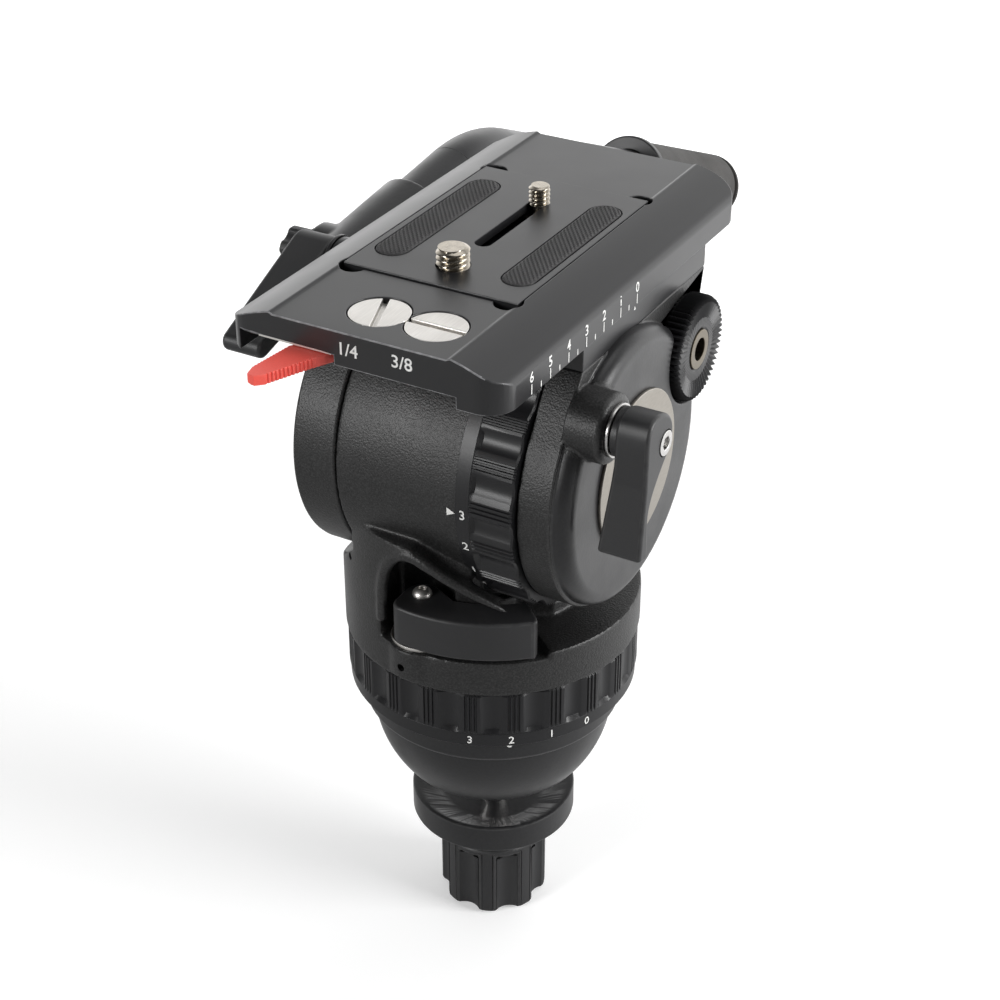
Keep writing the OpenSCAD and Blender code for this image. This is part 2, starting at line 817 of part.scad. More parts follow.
module right_cheek() {
    edge_r = 4.6;
    color("black") difference() {
        union() {
            along_x(rc_in, rc_out) cheek_outline(right_cheek_r);
            on_tilt_axis() translate([0, 0, rc_out - eps]) rotate_extrude()
                polygon(concat([[0, 0], [right_cheek_r - 1, 0]],
                    arc([right_cheek_r - 1 - edge_r, cheek_boss_w + eps - edge_r], edge_r, 0, 90),
                    [[0, cheek_boss_w + eps]]));
            rod_x(tilt_pivot, tilt_boss_r, rc_out - eps, tilt_boss_end);
        }
        rod_x([rosette_y, rosette_z], rosette_r + 2 * gap, rc_out, rc_face + eps);
        rod_x([0, tilt_z], axle_r + seat, rc_in - eps, rc_out - 1);
        rod_x([rosette_y, rosette_z], insert_r + seat, rc_out - 5, rc_out + eps);
        rod_x(tilt_pivot, lever_screw_r + run_fit, rc_in + 4, tilt_boss_end + eps);
        along_x(rc_in - eps, rc_in + 3 + seat) tilt_shoe_outline(seat);
        for (p = cheek_screw_places)
            rod_z(p, cheek_screw_r + seat, plat_z - cheek_screw_len - 1, plat_z + eps);
    }
}

// Brake shoe seen from the side, between the lever's screw and the axle
module tilt_shoe_outline(clear) {
    shoe_mid = [-17, tilt_z + 19];
    dot(shoe_mid, 6 + clear);
}

module tilt_brake_shoe() {
    color("goldenrod") along_x(rc_in, rc_in + 3) tilt_shoe_outline(0);
}

module right_cover_disc() {
    color("silver") rod_x([0, tilt_z], cover_r, rc_face, rc_face + 1);
}

module tilt_axle() {
    color("silver") rod_x([0, tilt_z], axle_r, lc_out + 3 + seat, rc_out - 1 - seat);
}

// Toothed rosette between two places along X, with a round hole through it
module rosette(x0, x1) {
    color("black") along_x(x0, x1) translate([rosette_y, rosette_z]) difference() {
        polygon(toothed(rosette_root, rosette_r, rosette_teeth));
        circle(insert_r + seat);
    }
}

// Threaded insert in a rosette
module rosette_insert(x0, x1, hole_r) {
    color("goldenrod") difference() {
        rod_x([rosette_y, rosette_z], insert_r, x0, x1);
        rod_x([rosette_y, rosette_z], hole_r, x0 - eps, x1 + eps);
    }
}

module right_rosette() {
    rosette(rc_out, rr_face);
}

module right_rosette_insert() {
    rosette_insert(rc_out - 5, rr_face - 0.5, tap_r);
}

module left_rosette() {
    rosette(lr_face, lc_out);
}

module left_rosette_insert() {
    rosette_insert(lr_face + 0.5, lc_out + 6, bolt_r + run_fit);
}

module plate_lever_boss() {
    color("black") difference() {
        union() {
            rod_x(plate_pivot, plate_boss_neck, plate_boss_in - seat, lc_out);
            rod_x(plate_pivot, plate_boss_r, plate_boss_end, plate_boss_in);
        }
        rod_x(plate_pivot, lever_screw_r + run_fit, plate_boss_end - eps, lc_out + eps);
    }
}

// Bright washer under a lever, with a hole for its screw
module lever_washer(p, r, x) {
    color("silver") difference() {
        rod_x(p, r, x, x + washer_t);
        rod_x(p, lever_screw_r + run_fit, x - eps, x + washer_t + eps);
    }
}

module plate_lever_washer() {
    lever_washer(plate_pivot, plate_boss_r + 0.4, plate_boss_end - washer_t);
}

module tilt_lever_washer() {
    lever_washer(tilt_pivot, tilt_boss_r + 0.4, tilt_boss_end);
}

// Lever arm at a pivot, pointing along an angle in Y and Z, with its screw's hole and counterbore
module lever_arm(p, r, turn, reach, x0, head_x) {
    color("dimgray") difference() {
        along_x(x0, x0 + lever_t) translate(p) rotate(turn)
            polygon(arm_outline(r, lever_tip_r, reach - lever_tip_r));
        rod_x(p, lever_screw_r + seat, x0 - eps, x0 + lever_t + eps);
        rod_x(p, lever_screw_head + 0.4, head_x, head_x + head_depth + eps);
    }
}

module tilt_lock_lever() {
    lever_arm(tilt_pivot, tilt_lever_r, tilt_lever_turn, tilt_lever_len, tilt_lever_x,
        tilt_lever_x + lever_t - head_depth);
}

module plate_lock_lever() {
    lever_arm(plate_pivot, plate_lever_r, 180 + plate_lever_slope, plate_lever_len, plate_lever_x - lever_t,
        plate_lever_x - lever_t - eps);
}

module tilt_lever_screw() {
    head_x = tilt_lever_x + lever_t - head_depth;
    color("silver") difference() {
        union() {
            rod_x(tilt_pivot, lever_screw_r, rc_in + 4 + gap, head_x + seat);
            rod_x(tilt_pivot, lever_screw_head, head_x + seat, head_x + head_depth + head_proud);
        }
        along_x(head_x + head_depth - socket_d, head_x + head_depth + 1) translate(tilt_pivot)
            circle(socket_r, $fn = 6);
    }
}

module plate_lever_screw() {
    head_x = plate_lever_x - lever_t + head_depth - eps;
    color("silver") difference() {
        union() {
            rod_x(plate_pivot, lever_screw_r, head_x - seat, lc_out + screw_reach - gap);
            rod_x(plate_pivot, lever_screw_head, head_x - head_depth - head_proud, head_x - seat);
        }
        along_x(head_x - head_depth - 1, head_x - head_depth + socket_d) translate(plate_pivot)
            circle(socket_r, $fn = 6);
    }
}

// Cross-section of the slide plate: sloping rails, sunk flat and a dovetail channel below
module plate_section() {
    shoulder = [plate_half - shoulder_r, shoulder_z - shoulder_r * (1 - sin(rail_slope)) / cos(rail_slope)];
    right = concat([[dove_half - dove_lean + gap, plate_z], [plate_half, plate_z]],
        arc(shoulder, shoulder_r, 0, 90 - rail_slope),
        [[rail_half, plate_top], [flat_half, plate_flat]]);
    polygon(concat(right, mirrored(right), [[-dove_half - gap, channel_z], [dove_half + gap, channel_z]]));
}

module slide_plate() {
    color("black") difference() {
        intersection() {
            union() {
                along_y(-plate_front, plate_back) plate_section();
                block([-dove_half - 1, -plate_front, front_z], [dove_half + 1, block_back, channel_z + eps]);
            }
            along_z(plate_z - 1, plate_top + 1)
                polygon(round_box(-plate_half, plate_half, -plate_front, plate_back, plate_corner));
        }
        block([-notch_half, -plate_front - 1, plate_z - 1], [notch_half, block_back + eps, front_z]);
        block([-rail_half, -insert_front - gap, insert_z], [rail_half, insert_back + gap, plate_top + 1]);
        for (x = [-rail_half, rail_half], y = [-insert_front - gap, insert_back + gap])
            rod_z([x, y] - relief_r * [0.8 * sign(x), 0.2 * sign(y)], relief_r, insert_z, plate_top + 1);
        for (p = [spare_left, spare_right]) {
            rod_z(p, spare_r + gap, spare_floor, plate_top);
        }
        rod_z(spare_left, small_screw_r + seat, spare_floor - spare_shank - gap, plate_top);
        rod_z(spare_right, big_screw_r + seat, spare_floor - spare_shank - gap, plate_top);
        block([key_notch_left, -plate_front - 1, plate_z - 1],
            [key_notch_right, -plate_front + key_notch_depth, key_notch_z]);
        rod_z(key_pivot, key_pin_r + seat, plate_z, key_notch_z + 3);
    }
}

// Outline of a rubber pad with round ends
module pad_outline(x, grow) {
    for (s = [-1, 1]) dot([x, pad_mid + s * (pad_len - pad_w) / 2], pad_w / 2 + grow);
    translate([x - pad_w / 2 - grow, pad_mid - (pad_len - pad_w) / 2])
        square([pad_w + 2 * grow, pad_len - pad_w]);
}

module camera_plate() {
    slot_front = small_screw_y - slot_travel;
    color("black") difference() {
        block([-insert_half, -insert_front, insert_z], [insert_half, insert_back, plate_top]);
        for (s = [-1, 1]) along_z(plate_top - pad_drop, plate_top + 1) pad_outline(s * pad_x, seat);
        rod_z([0, big_screw_y], big_screw_r + seat, insert_z - eps, plate_top + eps);
        rod_z([0, big_screw_y], big_head_r + seat, insert_z - eps, insert_z + groove_h);
        for (y = [slot_front, small_screw_y]) {
            rod_z([0, y], slot_w / 2, insert_z - eps, plate_top + eps);
            rod_z([0, y], small_head_r + gap, insert_z - eps, insert_z + groove_h);
        }
        block([-slot_w / 2, slot_front, insert_z - eps], [slot_w / 2, small_screw_y, plate_top + eps]);
        block([-small_head_r - gap, slot_front, insert_z - eps],
            [small_head_r + gap, small_screw_y, insert_z + groove_h]);
    }
}

module grip_pads() {
    color("dimgray") for (s = [-1, 1])
        along_z(plate_top - pad_drop, plate_top + pad_proud) pad_outline(s * pad_x, 0);
}

module camera_screw_3_8() {
    color("silver") {
        rod_z([0, big_screw_y], big_head_r, insert_z + gap, insert_z + groove_h - seat);
        rod_z([0, big_screw_y], big_neck_r, insert_z + groove_h - seat, plate_top + gap);
        rod_z([0, big_screw_y], big_screw_r, plate_top + gap, plate_top + gap + screw_free);
    }
}

module camera_screw_1_4() {
    color("silver") {
        rod_z([0, small_screw_y], small_head_r, insert_z + gap, insert_z + gap + screw_head_h);
        rod_z([0, small_screw_y], neck_r, insert_z + gap + screw_head_h, plate_top + gap);
        rod_z([0, small_screw_y], small_screw_r, plate_top + gap, plate_top + gap + screw_free);
    }
}

// Spare screw lying in the plate, with a driver slot across its head
module spare_screw(p, r, turn) {
    top = plate_flat - spare_sunk;
    color("silver") difference() {
        union() {
            rod_z(p, spare_r, spare_floor + seat, top);
            rod_z(p, r, spare_floor - spare_shank, spare_floor + seat);
        }
        translate([p[0], p[1], top - driver_slot_d / 2 + eps]) rotate(turn)
            cube([2 * spare_r + 1, driver_slot_w, driver_slot_d + 2 * eps], center = true);
    }
}

module spare_screw_1_4() {
    spare_screw(spare_left, small_screw_r, spare_left_turn);
}

module spare_screw_3_8() {
    spare_screw(spare_right, big_screw_r, spare_right_turn);
}

module key_pin() {
    color("silver") rod_z(key_pivot, key_pin_r, key_z + 0.2, key_notch_z + 3 - seat);
}

// Flat key with a round pivot end, a bulged inner edge and a blunt tip, swung out of its notch
module screw_key() {
    color("red") difference() {
        along_z(key_z, key_z + key_t) translate(key_pivot) rotate(180 + key_out) {
            circle(key_w / 2);
            polygon([[0, -key_w / 2], [0.3 * key_len, -0.72 * key_w], [0.87 * key_len, -0.43 * key_w],
                [key_len, -0.22 * key_w], [key_len, 0.07 * key_w], [0.9 * key_len, 0.22 * key_w],
                [0.3 * key_len, 0.38 * key_w], [0, key_w / 2]]);
        }
        rod_z(key_pivot, key_pin_r + run_fit, key_z - eps, key_z + key_t + eps);
    }
}

module bar_clamp() {
    color("black") difference() {
        union() {
            along_x(clamp_face - clamp_disc_w, clamp_face) translate([rosette_y, rosette_z])
                polygon(toothed(rosette_root, rosette_r, rosette_teeth));
            rod_x([rosette_y, rosette_z], collar_r - 1, -bar_x - collar_r, clamp_face - clamp_disc_w);
            on_bar() along_y(-collar_r, collar_len) circle(collar_r);
        }
        on_bar() along_y(tube_start, collar_len + eps) circle(bar_r + seat);
        rod_x([rosette_y, rosette_z], bolt_r + run_fit, -bar_x - collar_r - eps, clamp_face + eps);
    }
}

module bar_tube() {
    color("black") on_bar() {
        along_y(tube_start + seat, bar_straight) circle(bar_r);
        translate([0, bar_straight, -bar_bend_r]) rotate([90, 0, 90]) rotate(90 - bar_bend)
            rotate_extrude(angle = bar_bend) translate([bar_bend_r, 0]) circle(bar_r);
        on_slope() along_y(0, bar_slope_len - cap_len) circle(bar_r);
    }
}

module bar_grip() {
    color("dimgray") on_bar() on_slope() difference() {
        along_y(grip_from + grip_ring_w, bar_slope_len - cap_len) circle(grip_r);
        along_y(grip_from, bar_slope_len) circle(grip_bore);
    }
}

module grip_ring() {
    color("black") on_bar() on_slope() difference() {
        along_y(grip_from, grip_from + grip_ring_w) circle(grip_r + 1.4);
        along_y(grip_from - eps, grip_from + grip_ring_w + eps) circle(grip_bore);
    }
}

module bar_end_cap() {
    color("black") on_bar() on_slope() translate([0, bar_slope_len - cap_len, 0]) rotate([-90, 0, 0])
        rotate_extrude() polygon(concat([[0, 0]],
            arc([grip_r - cap_round, cap_len - cap_round], cap_round, 0, 90), [[0, cap_len]]));
}

module clamp_bolt() {
    color("silver") rod_x([rosette_y, rosette_z], bolt_r, knob_seat - clamp_knob_len + 4, bolt_tip);
}

module clamp_knob() {
    lobes = 6;
    lobe_r = 4;
    lobe_bite = 1.2;
    color("black") difference() {
        rod_x([rosette_y, rosette_z], clamp_knob_r, knob_seat - clamp_knob_len, knob_seat);
        rod_x([rosette_y, rosette_z], bolt_r + seat, knob_seat - clamp_knob_len + 4 - seat, knob_seat + eps);
        for (i = [0:lobes - 1])
            rod_x([rosette_y, rosette_z] + (clamp_knob_r + lobe_r - lobe_bite) * [cos(60 * i), sin(60 * i)],
                lobe_r, knob_seat - clamp_knob_len - eps, knob_seat - 3);
    }
}

half_ball();
base_plate();
base_screws();
pan_post();
pan_nut();
pan_drag_cartridge();
tie_down_stud();
clamp_cup();
tie_down_knob();
pan_drag_ring();
main_body();
pan_bearing();
pan_brake_shoe();
drum_end_plate();
left_tilt_bearing();
right_tilt_bearing();
tilt_drag_cartridge();
counterbalance_spring();
level_holder();
level_vial();
pan_lever_washer();
pan_lock_lever();
pan_lever_screw();
tilt_drag_ring();
platform();
left_cheek();
right_cheek();
right_cover_disc();
tilt_axle();
cheek_screws();
tilt_brake_shoe();
right_rosette();
right_rosette_insert();
left_rosette();
left_rosette_insert();
plate_lever_boss();
plate_lever_washer();
tilt_lever_washer();
tilt_lock_lever();
tilt_lever_screw();
plate_lock_lever();
plate_lever_screw();
slide_plate();
camera_plate();
grip_pads();
camera_screw_3_8();
camera_screw_1_4();
spare_screw_1_4();
spare_screw_3_8();
key_pin();
screw_key();
bar_clamp();
bar_tube();
bar_grip();
grip_ring();
bar_end_cap();
clamp_bolt();
clamp_knob();
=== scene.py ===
"""Looks of a fluid video head, dressed around its packed construction frame.

Lengths inside the shapes are millimetres in the head's own frame: +X is the tilt lever's side, +Y the
operator's side, +Z is up, and the origin is the centre of the half ball.
"""

import json
import logging
import math
from dataclasses import dataclass
from enum import Enum
from typing import Callable, Iterable, Sequence

import bmesh
import bpy
from mathutils import Matrix, Vector

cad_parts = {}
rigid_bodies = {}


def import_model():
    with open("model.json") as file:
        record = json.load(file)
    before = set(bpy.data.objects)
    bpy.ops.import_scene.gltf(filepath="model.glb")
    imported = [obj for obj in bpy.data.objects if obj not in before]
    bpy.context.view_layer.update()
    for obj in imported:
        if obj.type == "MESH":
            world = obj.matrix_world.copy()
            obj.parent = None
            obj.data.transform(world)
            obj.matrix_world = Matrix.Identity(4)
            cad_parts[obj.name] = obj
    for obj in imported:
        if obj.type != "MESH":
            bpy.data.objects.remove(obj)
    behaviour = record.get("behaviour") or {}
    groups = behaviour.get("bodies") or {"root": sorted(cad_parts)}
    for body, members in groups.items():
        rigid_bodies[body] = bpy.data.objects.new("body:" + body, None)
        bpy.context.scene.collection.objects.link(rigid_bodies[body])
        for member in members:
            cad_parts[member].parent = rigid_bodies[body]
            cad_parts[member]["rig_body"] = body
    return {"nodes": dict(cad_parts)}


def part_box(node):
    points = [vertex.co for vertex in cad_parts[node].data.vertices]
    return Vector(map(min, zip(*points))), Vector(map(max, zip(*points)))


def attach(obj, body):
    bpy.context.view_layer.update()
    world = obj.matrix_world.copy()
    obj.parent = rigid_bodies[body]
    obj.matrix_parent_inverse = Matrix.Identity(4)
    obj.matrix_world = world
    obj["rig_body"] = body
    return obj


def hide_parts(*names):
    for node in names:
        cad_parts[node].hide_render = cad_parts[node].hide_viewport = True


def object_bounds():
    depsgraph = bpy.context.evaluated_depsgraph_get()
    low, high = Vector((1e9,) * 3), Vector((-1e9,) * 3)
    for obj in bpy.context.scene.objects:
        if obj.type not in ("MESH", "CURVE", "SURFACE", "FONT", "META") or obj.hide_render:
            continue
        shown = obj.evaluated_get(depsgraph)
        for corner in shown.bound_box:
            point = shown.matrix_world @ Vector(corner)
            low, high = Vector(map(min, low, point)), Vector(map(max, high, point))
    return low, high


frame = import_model()
CAD_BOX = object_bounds()

WEAR = "wear"
DRAG_NUMBERS = ("3", "2", "1", "0")
RIGHT = Vector((1.0, 0.0, 0.0))
UP = Vector((0.0, 0.0, 1.0))

# Metres in a millimetre
MM = 0.001
# How far print stands off a round surface
PRINT_LIFT = 0.06
# How far a cutting form reaches past a surface
OVERCUT = 2.0
# Width of a drag ring's number band
BAND_W = 4.6

Point = tuple[float, float]
Place = tuple[float, float, float]
Colour = tuple[float, float, float]
Lay = Callable[[float, float], Vector]
Tree = bpy.types.NodeTree
Socket = bpy.types.NodeSocket

log = logging.getLogger("video_head")


class Axis(Enum):
    """A main direction of the head, with the two others following it in turn."""

    X = 0
    Y = 1
    Z = 2

    def put(self, along: float, u: float, v: float) -> Vector:
        """Places a point.

        Args:
            along: Distance along this axis.
            u: Distance along the next axis.
            v: Distance along the one after it.

        Returns:
            The point in X, Y and Z.
        """
        place = [0.0, 0.0, 0.0]
        place[self.value] = along
        place[(self.value + 1) % 3] = u
        place[(self.value + 2) % 3] = v
        return Vector(place)


class Grain(Enum):
    """Surface texture of a finish."""

    CAST = "cast"
    MOULDED = "moulded"
    BRUSHED = "brushed"
    TURNED = "turned"


@dataclass(frozen=True)
class Finish:
    """How one kind of surface looks."""

    slot: str  # Material slot of the record that it belongs to
    colour: Colour  # Base colour
    roughness: float  # Middle roughness
    metallic: float = 0.0  # 0 for paint and plastic, 1 for bare metal
    grain: Grain = Grain.MOULDED  # Kind of fine texture
    grain_mm: float = 0.4  # Size of one grain in millimetres
    relief_mm: float = 0.01  # Height of the grain in millimetres
    tone: float = 0.2  # How far the grain lightens and darkens the colour
    wear: float = 0.3  # How strongly softened edges show the worn colour
    worn: Colour = (0.2, 0.2, 0.2)  # Colour of a worn edge
    marks: float = 0.08  # How far handling changes the roughness
    specular: float = 0.5  # Strength of the reflection of paint and plastic
    coat: float = 0.0  # Weight of a clear coat


# The anodised worn colour also serves as a painted highlight on the slide plate's front edges
ANODISED = Finish("black_anodised", (0.012, 0.012, 0.013), 0.34, grain_mm=0.25, relief_mm=0.004, tone=0.12,
                  wear=0.12, worn=(0.26, 0.26, 0.27), marks=0.015)
POWDER = Finish("powder_coat", (0.013, 0.013, 0.013), 0.46, grain=Grain.CAST, grain_mm=0.5, relief_mm=0.06,
                tone=1.0, wear=0.2, worn=(0.08, 0.08, 0.08), marks=0.03)
SATIN = Finish("satin_black", (0.012, 0.012, 0.013), 0.36, grain=Grain.CAST, grain_mm=0.8, relief_mm=0.008,
               tone=0.2, wear=0.25, worn=(0.10, 0.10, 0.10))
RING = Finish("ring_black", (0.010, 0.010, 0.011), 0.38, grain_mm=0.5, relief_mm=0.006, tone=0.2, wear=0.3,
              worn=(0.09, 0.09, 0.09), specular=0.4, marks=0.03)
LEVER = Finish("lever_plastic", (0.016, 0.016, 0.017), 0.46, grain_mm=0.35, relief_mm=0.012, tone=0.3,
               wear=0.3, worn=(0.06, 0.06, 0.06), marks=0.03)
STEEL = Finish("steel", (0.50, 0.49, 0.48), 0.30, metallic=1.0, grain=Grain.TURNED, grain_mm=0.18,
               relief_mm=0.004, tone=0.10, wear=0.4, worn=(0.75, 0.75, 0.74))
NICKEL = Finish("bright_nickel", (0.40, 0.365, 0.31), 0.24, metallic=1.0, grain=Grain.TURNED, grain_mm=0.2,
                relief_mm=0.004, tone=0.14, wear=0.3, worn=(0.80, 0.76, 0.70))
SPARE = Finish("bright_nickel", (0.66, 0.64, 0.61), 0.40, metallic=1.0, grain=Grain.BRUSHED, grain_mm=0.16,
               relief_mm=0.006, tone=0.10, wear=0.5, worn=(0.85, 0.84, 0.82))
COVER = Finish("cover_metal", (0.29, 0.27, 0.24), 0.42, metallic=1.0, grain=Grain.TURNED, grain_mm=0.25,
               relief_mm=0.004, tone=0.08, wear=0.3, worn=(0.6, 0.58, 0.54))
RUBBER = Finish("pad_rubber", (0.034, 0.033, 0.034), 0.58, grain_mm=0.22, relief_mm=0.02, tone=0.35, wear=0.0,
                specular=0.45)
KEY_RED = Finish("key_red", (0.84, 0.10, 0.075), 0.5, grain_mm=0.5, relief_mm=0.008, tone=0.10, wear=0.25,
                 worn=(0.80, 0.16, 0.13))
GRIP = Finish("grip_rubber", (0.048, 0.046, 0.044), 0.74, grain_mm=0.5, relief_mm=0.05, tone=0.4, wear=0.0,
              specular=0.35)
BRASS = Finish("brass", (0.15, 0.13, 0.10), 0.38, metallic=1.0, grain=Grain.TURNED, grain_mm=0.2,
               relief_mm=0.004, tone=0.12, wear=0.3, worn=(0.30, 0.26, 0.20))
VIAL = Finish("level_glass", (0.42, 0.62, 0.10), 0.10, grain_mm=2.0, relief_mm=0.0, tone=0.10, wear=0.0,
              coat=1.0)
PRINT = Finish("black_anodised", (0.80, 0.80, 0.78), 0.55, grain_mm=0.12, relief_mm=0.002, tone=0.10,
               wear=0.0)


def worked(tree: Tree, kind: str, a: Socket | float, b: Socket | float) -> Socket:
    """Adds a math node.

    Args:
        tree: Tree to add it to.
        kind: Operation, such as MULTIPLY.
        a: First number or socket.
        b: Second number or socket.

    Returns:
        The result's socket.
    """
    node = tree.nodes.new("ShaderNodeMath")
    node.operation = kind
    for place, value in enumerate((a, b)):
        if isinstance(value, float):
            node.inputs[place].default_value = value
        else:
            tree.links.new(value, node.inputs[place])
    return node.outputs["Value"]


def mapped(tree: Tree, value: Socket, low: float, high: float,
           to_low: float = 0.0, to_high: float = 1.0) -> Socket:
    """Adds a clamped map from one range to another.

    Args:
        tree: Tree to add it to.
        value: Socket to map.
        low: Value that becomes to_low.
        high: Value that becomes to_high.
        to_low: Result at the low end.
        to_high: Result at the high end.

    Returns:
        The mapped value's socket.
    """
    node = tree.nodes.new("ShaderNodeMapRange")
    tree.links.new(value, node.inputs["Value"])
    for label, number in (("From Min", low), ("From Max", high), ("To Min", to_low), ("To Max", to_high)):
        node.inputs[label].default_value = number
    return node.outputs["Result"]


class FinishShop:
    """Builds the shared node groups once, and one material for each finish."""

    def __init__(self) -> None:
        """Makes the node groups that the materials share."""
        self.grains = {
            Grain.CAST: self._cast_grain(),
            Grain.MOULDED: self._moulded_grain(),
            Grain.BRUSHED: self._line_grain("Brushed lines", (1.0, 0.03, 1.0)),
            Grain.TURNED: self._line_grain("Turned lines", (0.12, 0.12, 1.0)),
        }
        self.edge_wear = self._edge_wear()
        self.handling = self._handling()
        self.made: dict[Finish, bpy.types.Material] = {}

    @staticmethod
    def _group(name: str, inputs: dict[str, float], outputs: Sequence[str]) -> Tree:
        """Starts a shader group.

        Args:
            name: Name of the group.
            inputs: Names and first values of its number inputs.
            outputs: Names of its number outputs.

        Returns:
            The group's tree, with its input and output nodes.
        """
        tree = bpy.data.node_groups.new(name, "ShaderNodeTree")
        for label, value in inputs.items():
            socket = tree.interface.new_socket(name=label, in_out="INPUT", socket_type="NodeSocketFloat")
            socket.default_value = value
        for label in outputs:
            tree.interface.new_socket(name=label, in_out="OUTPUT", socket_type="NodeSocketFloat")
        tree.nodes.new("NodeGroupInput").name = "in"
        tree.nodes.new("NodeGroupOutput").name = "out"
        return tree

    @staticmethod
    def _noise(tree: Tree, vector: Socket, scale: Socket | float, detail: float = 2.0) -> Socket:
        """Adds a noise texture.

        Args:
            tree: Tree to add it to.
            vector: Coordinates that it reads.
            scale: A number, or a socket that gives it.
            detail: Number of finer layers.

        Returns:
            The noise value's socket.
        """
        noise = tree.nodes.new("ShaderNodeTexNoise")
        tree.links.new(vector, noise.inputs["Vector"])
        if isinstance(scale, float):
            noise.inputs["Scale"].default_value = scale
        else:
            tree.links.new(scale, noise.inputs["Scale"])
        noise.inputs["Detail"].default_value = detail
        return noise.outputs["Fac"]

    @staticmethod
    def _place(tree: Tree) -> Socket:
        """Gives the place on a piece, in metres."""
        return tree.nodes.new("ShaderNodeTexCoord").outputs["Object"]

    @staticmethod
    def _give(tree: Tree, **results: Socket) -> Tree:
        """Links results to the outputs of a group.

        Args:
            tree: The group's tree.
            **results: Socket for each output's name.

        Returns:
            The group's tree.
        """
        for label, socket in results.items():
            tree.links.new(socket, tree.nodes["out"].inputs[label])
        return tree

    def _cast_grain(self) -> Tree:
        """Powder coat: round grains with pale specks.

        Returns:
            The group, with Height and Tone outputs.
        """
        tree = self._group("Cast grain", {"Scale": 2000.0}, ("Height", "Tone"))
        place = self._place(tree)
        scale = tree.nodes["in"].outputs["Scale"]
        cells = tree.nodes.new("ShaderNodeTexVoronoi")
        cells.feature = "SMOOTH_F1"
        tree.links.new(place, cells.inputs["Vector"])
        tree.links.new(scale, cells.inputs["Scale"])
        bumps = mapped(tree, cells.outputs["Distance"], 0.1, 0.8, 1.0, 0.0)
        rough = self._noise(tree, place, scale, 3.0)
        height = worked(tree, "ADD", bumps, rough)
        specks = mapped(tree, rough, 0.42, 0.68)
        return self._give(tree, Height=height, Tone=specks)

    def _moulded_grain(self) -> Tree:
        """Fine even grain of moulded plastic, rubber and anodised metal.

        Returns:
            The group, with Height and Tone outputs.
        """
        tree = self._group("Moulded grain", {"Scale": 2500.0}, ("Height", "Tone"))
        place = self._place(tree)
        fine = self._noise(tree, place, tree.nodes["in"].outputs["Scale"], 4.0)
        broad = self._noise(tree, place, 45.0, 2.0)
        tone = worked(tree, "ADD", mapped(tree, fine, 0.3, 0.7, 0.0, 0.5),
                      mapped(tree, broad, 0.3, 0.7, 0.0, 0.5))
        return self._give(tree, Height=fine, Tone=tone)

    def _line_grain(self, name: str, stretch: tuple[float, float, float]) -> Tree:
        """Fine lines left by brushing or turning.

        Args:
            name: Name of the group.
            stretch: How much each direction counts; a small number draws the lines out along it.

        Returns:
            The group, with Height and Tone outputs.
        """
        tree = self._group(name, {"Scale": 4000.0}, ("Height", "Tone"))
        place = self._place(tree)
        turn = tree.nodes.new("ShaderNodeMapping")
        turn.inputs["Scale"].default_value = stretch
        tree.links.new(place, turn.inputs["Vector"])
        lines = self._noise(tree, turn.outputs["Vector"], tree.nodes["in"].outputs["Scale"], 2.0)
        return self._give(tree, Height=lines, Tone=mapped(tree, lines, 0.3, 0.7))

    def _edge_wear(self) -> Tree:
        """Broken bright line where an edge was softened.

        Returns:
            The group, with a Mask output.
        """
        tree = self._group("Edge wear", {"Amount": 0.5, "Scale": 350.0}, ("Mask",))
        edge = tree.nodes.new("ShaderNodeAttribute")
        edge.attribute_name = WEAR
        place = self._place(tree)
        noise = self._noise(tree, place, tree.nodes["in"].outputs["Scale"], 3.0)
        broken = mapped(tree, noise, 0.35, 0.65, 0.35, 1.0)
        worn = worked(tree, "MULTIPLY", edge.outputs["Fac"], broken)
        return self._give(tree, Mask=worked(tree, "MULTIPLY", worn, tree.nodes["in"].outputs["Amount"]))

    def _handling(self) -> Tree:
        """Soft patches where hands have polished or dulled the surface.

        Returns:
            The group, with a Rough output around its Middle input.
        """
        tree = self._group("Handling marks", {"Middle": 0.4, "Spread": 0.08}, ("Rough",))
        place = self._place(tree)
        patches = mapped(tree, self._noise(tree, place, 60.0, 5.0), 0.3, 0.7, -1.0, 1.0)
        swing = worked(tree, "MULTIPLY", patches, tree.nodes["in"].outputs["Spread"])
        return self._give(tree, Rough=worked(tree, "ADD", swing, tree.nodes["in"].outputs["Middle"]))

    @staticmethod
    def _use(tree: Tree, group: Tree, values: dict[str, float]) -> bpy.types.Node:
        """Places a group in a material.

        Args:
            tree: The material's tree.
            group: Group to place.
            values: Values of its inputs.

        Returns:
            The group's node.
        """
        node = tree.nodes.new("ShaderNodeGroup")
        node.node_tree = group
        for label, value in values.items():
            node.inputs[label].default_value = value
        return node

    @staticmethod
    def _mix(tree: Tree, factor: Socket, a: Colour | Socket, b: Colour | Socket) -> Socket:
        """Adds a colour mix.

        Args:
            tree: Tree to add it to.
            factor: Socket that chooses between the colours.
            a: Colour or socket at 0.
            b: Colour or socket at 1.

        Returns:
            The mixed colour's socket.
        """
        node = tree.nodes.new("ShaderNodeMix")
        node.data_type = "RGBA"
        tree.links.new(factor, node.inputs[0])
        for place, value in ((6, a), (7, b)):
            if isinstance(value, tuple):
                node.inputs[place].default_value = (*value, 1.0)
            else:
                tree.links.new(value, node.inputs[place])
        return node.outputs[2]

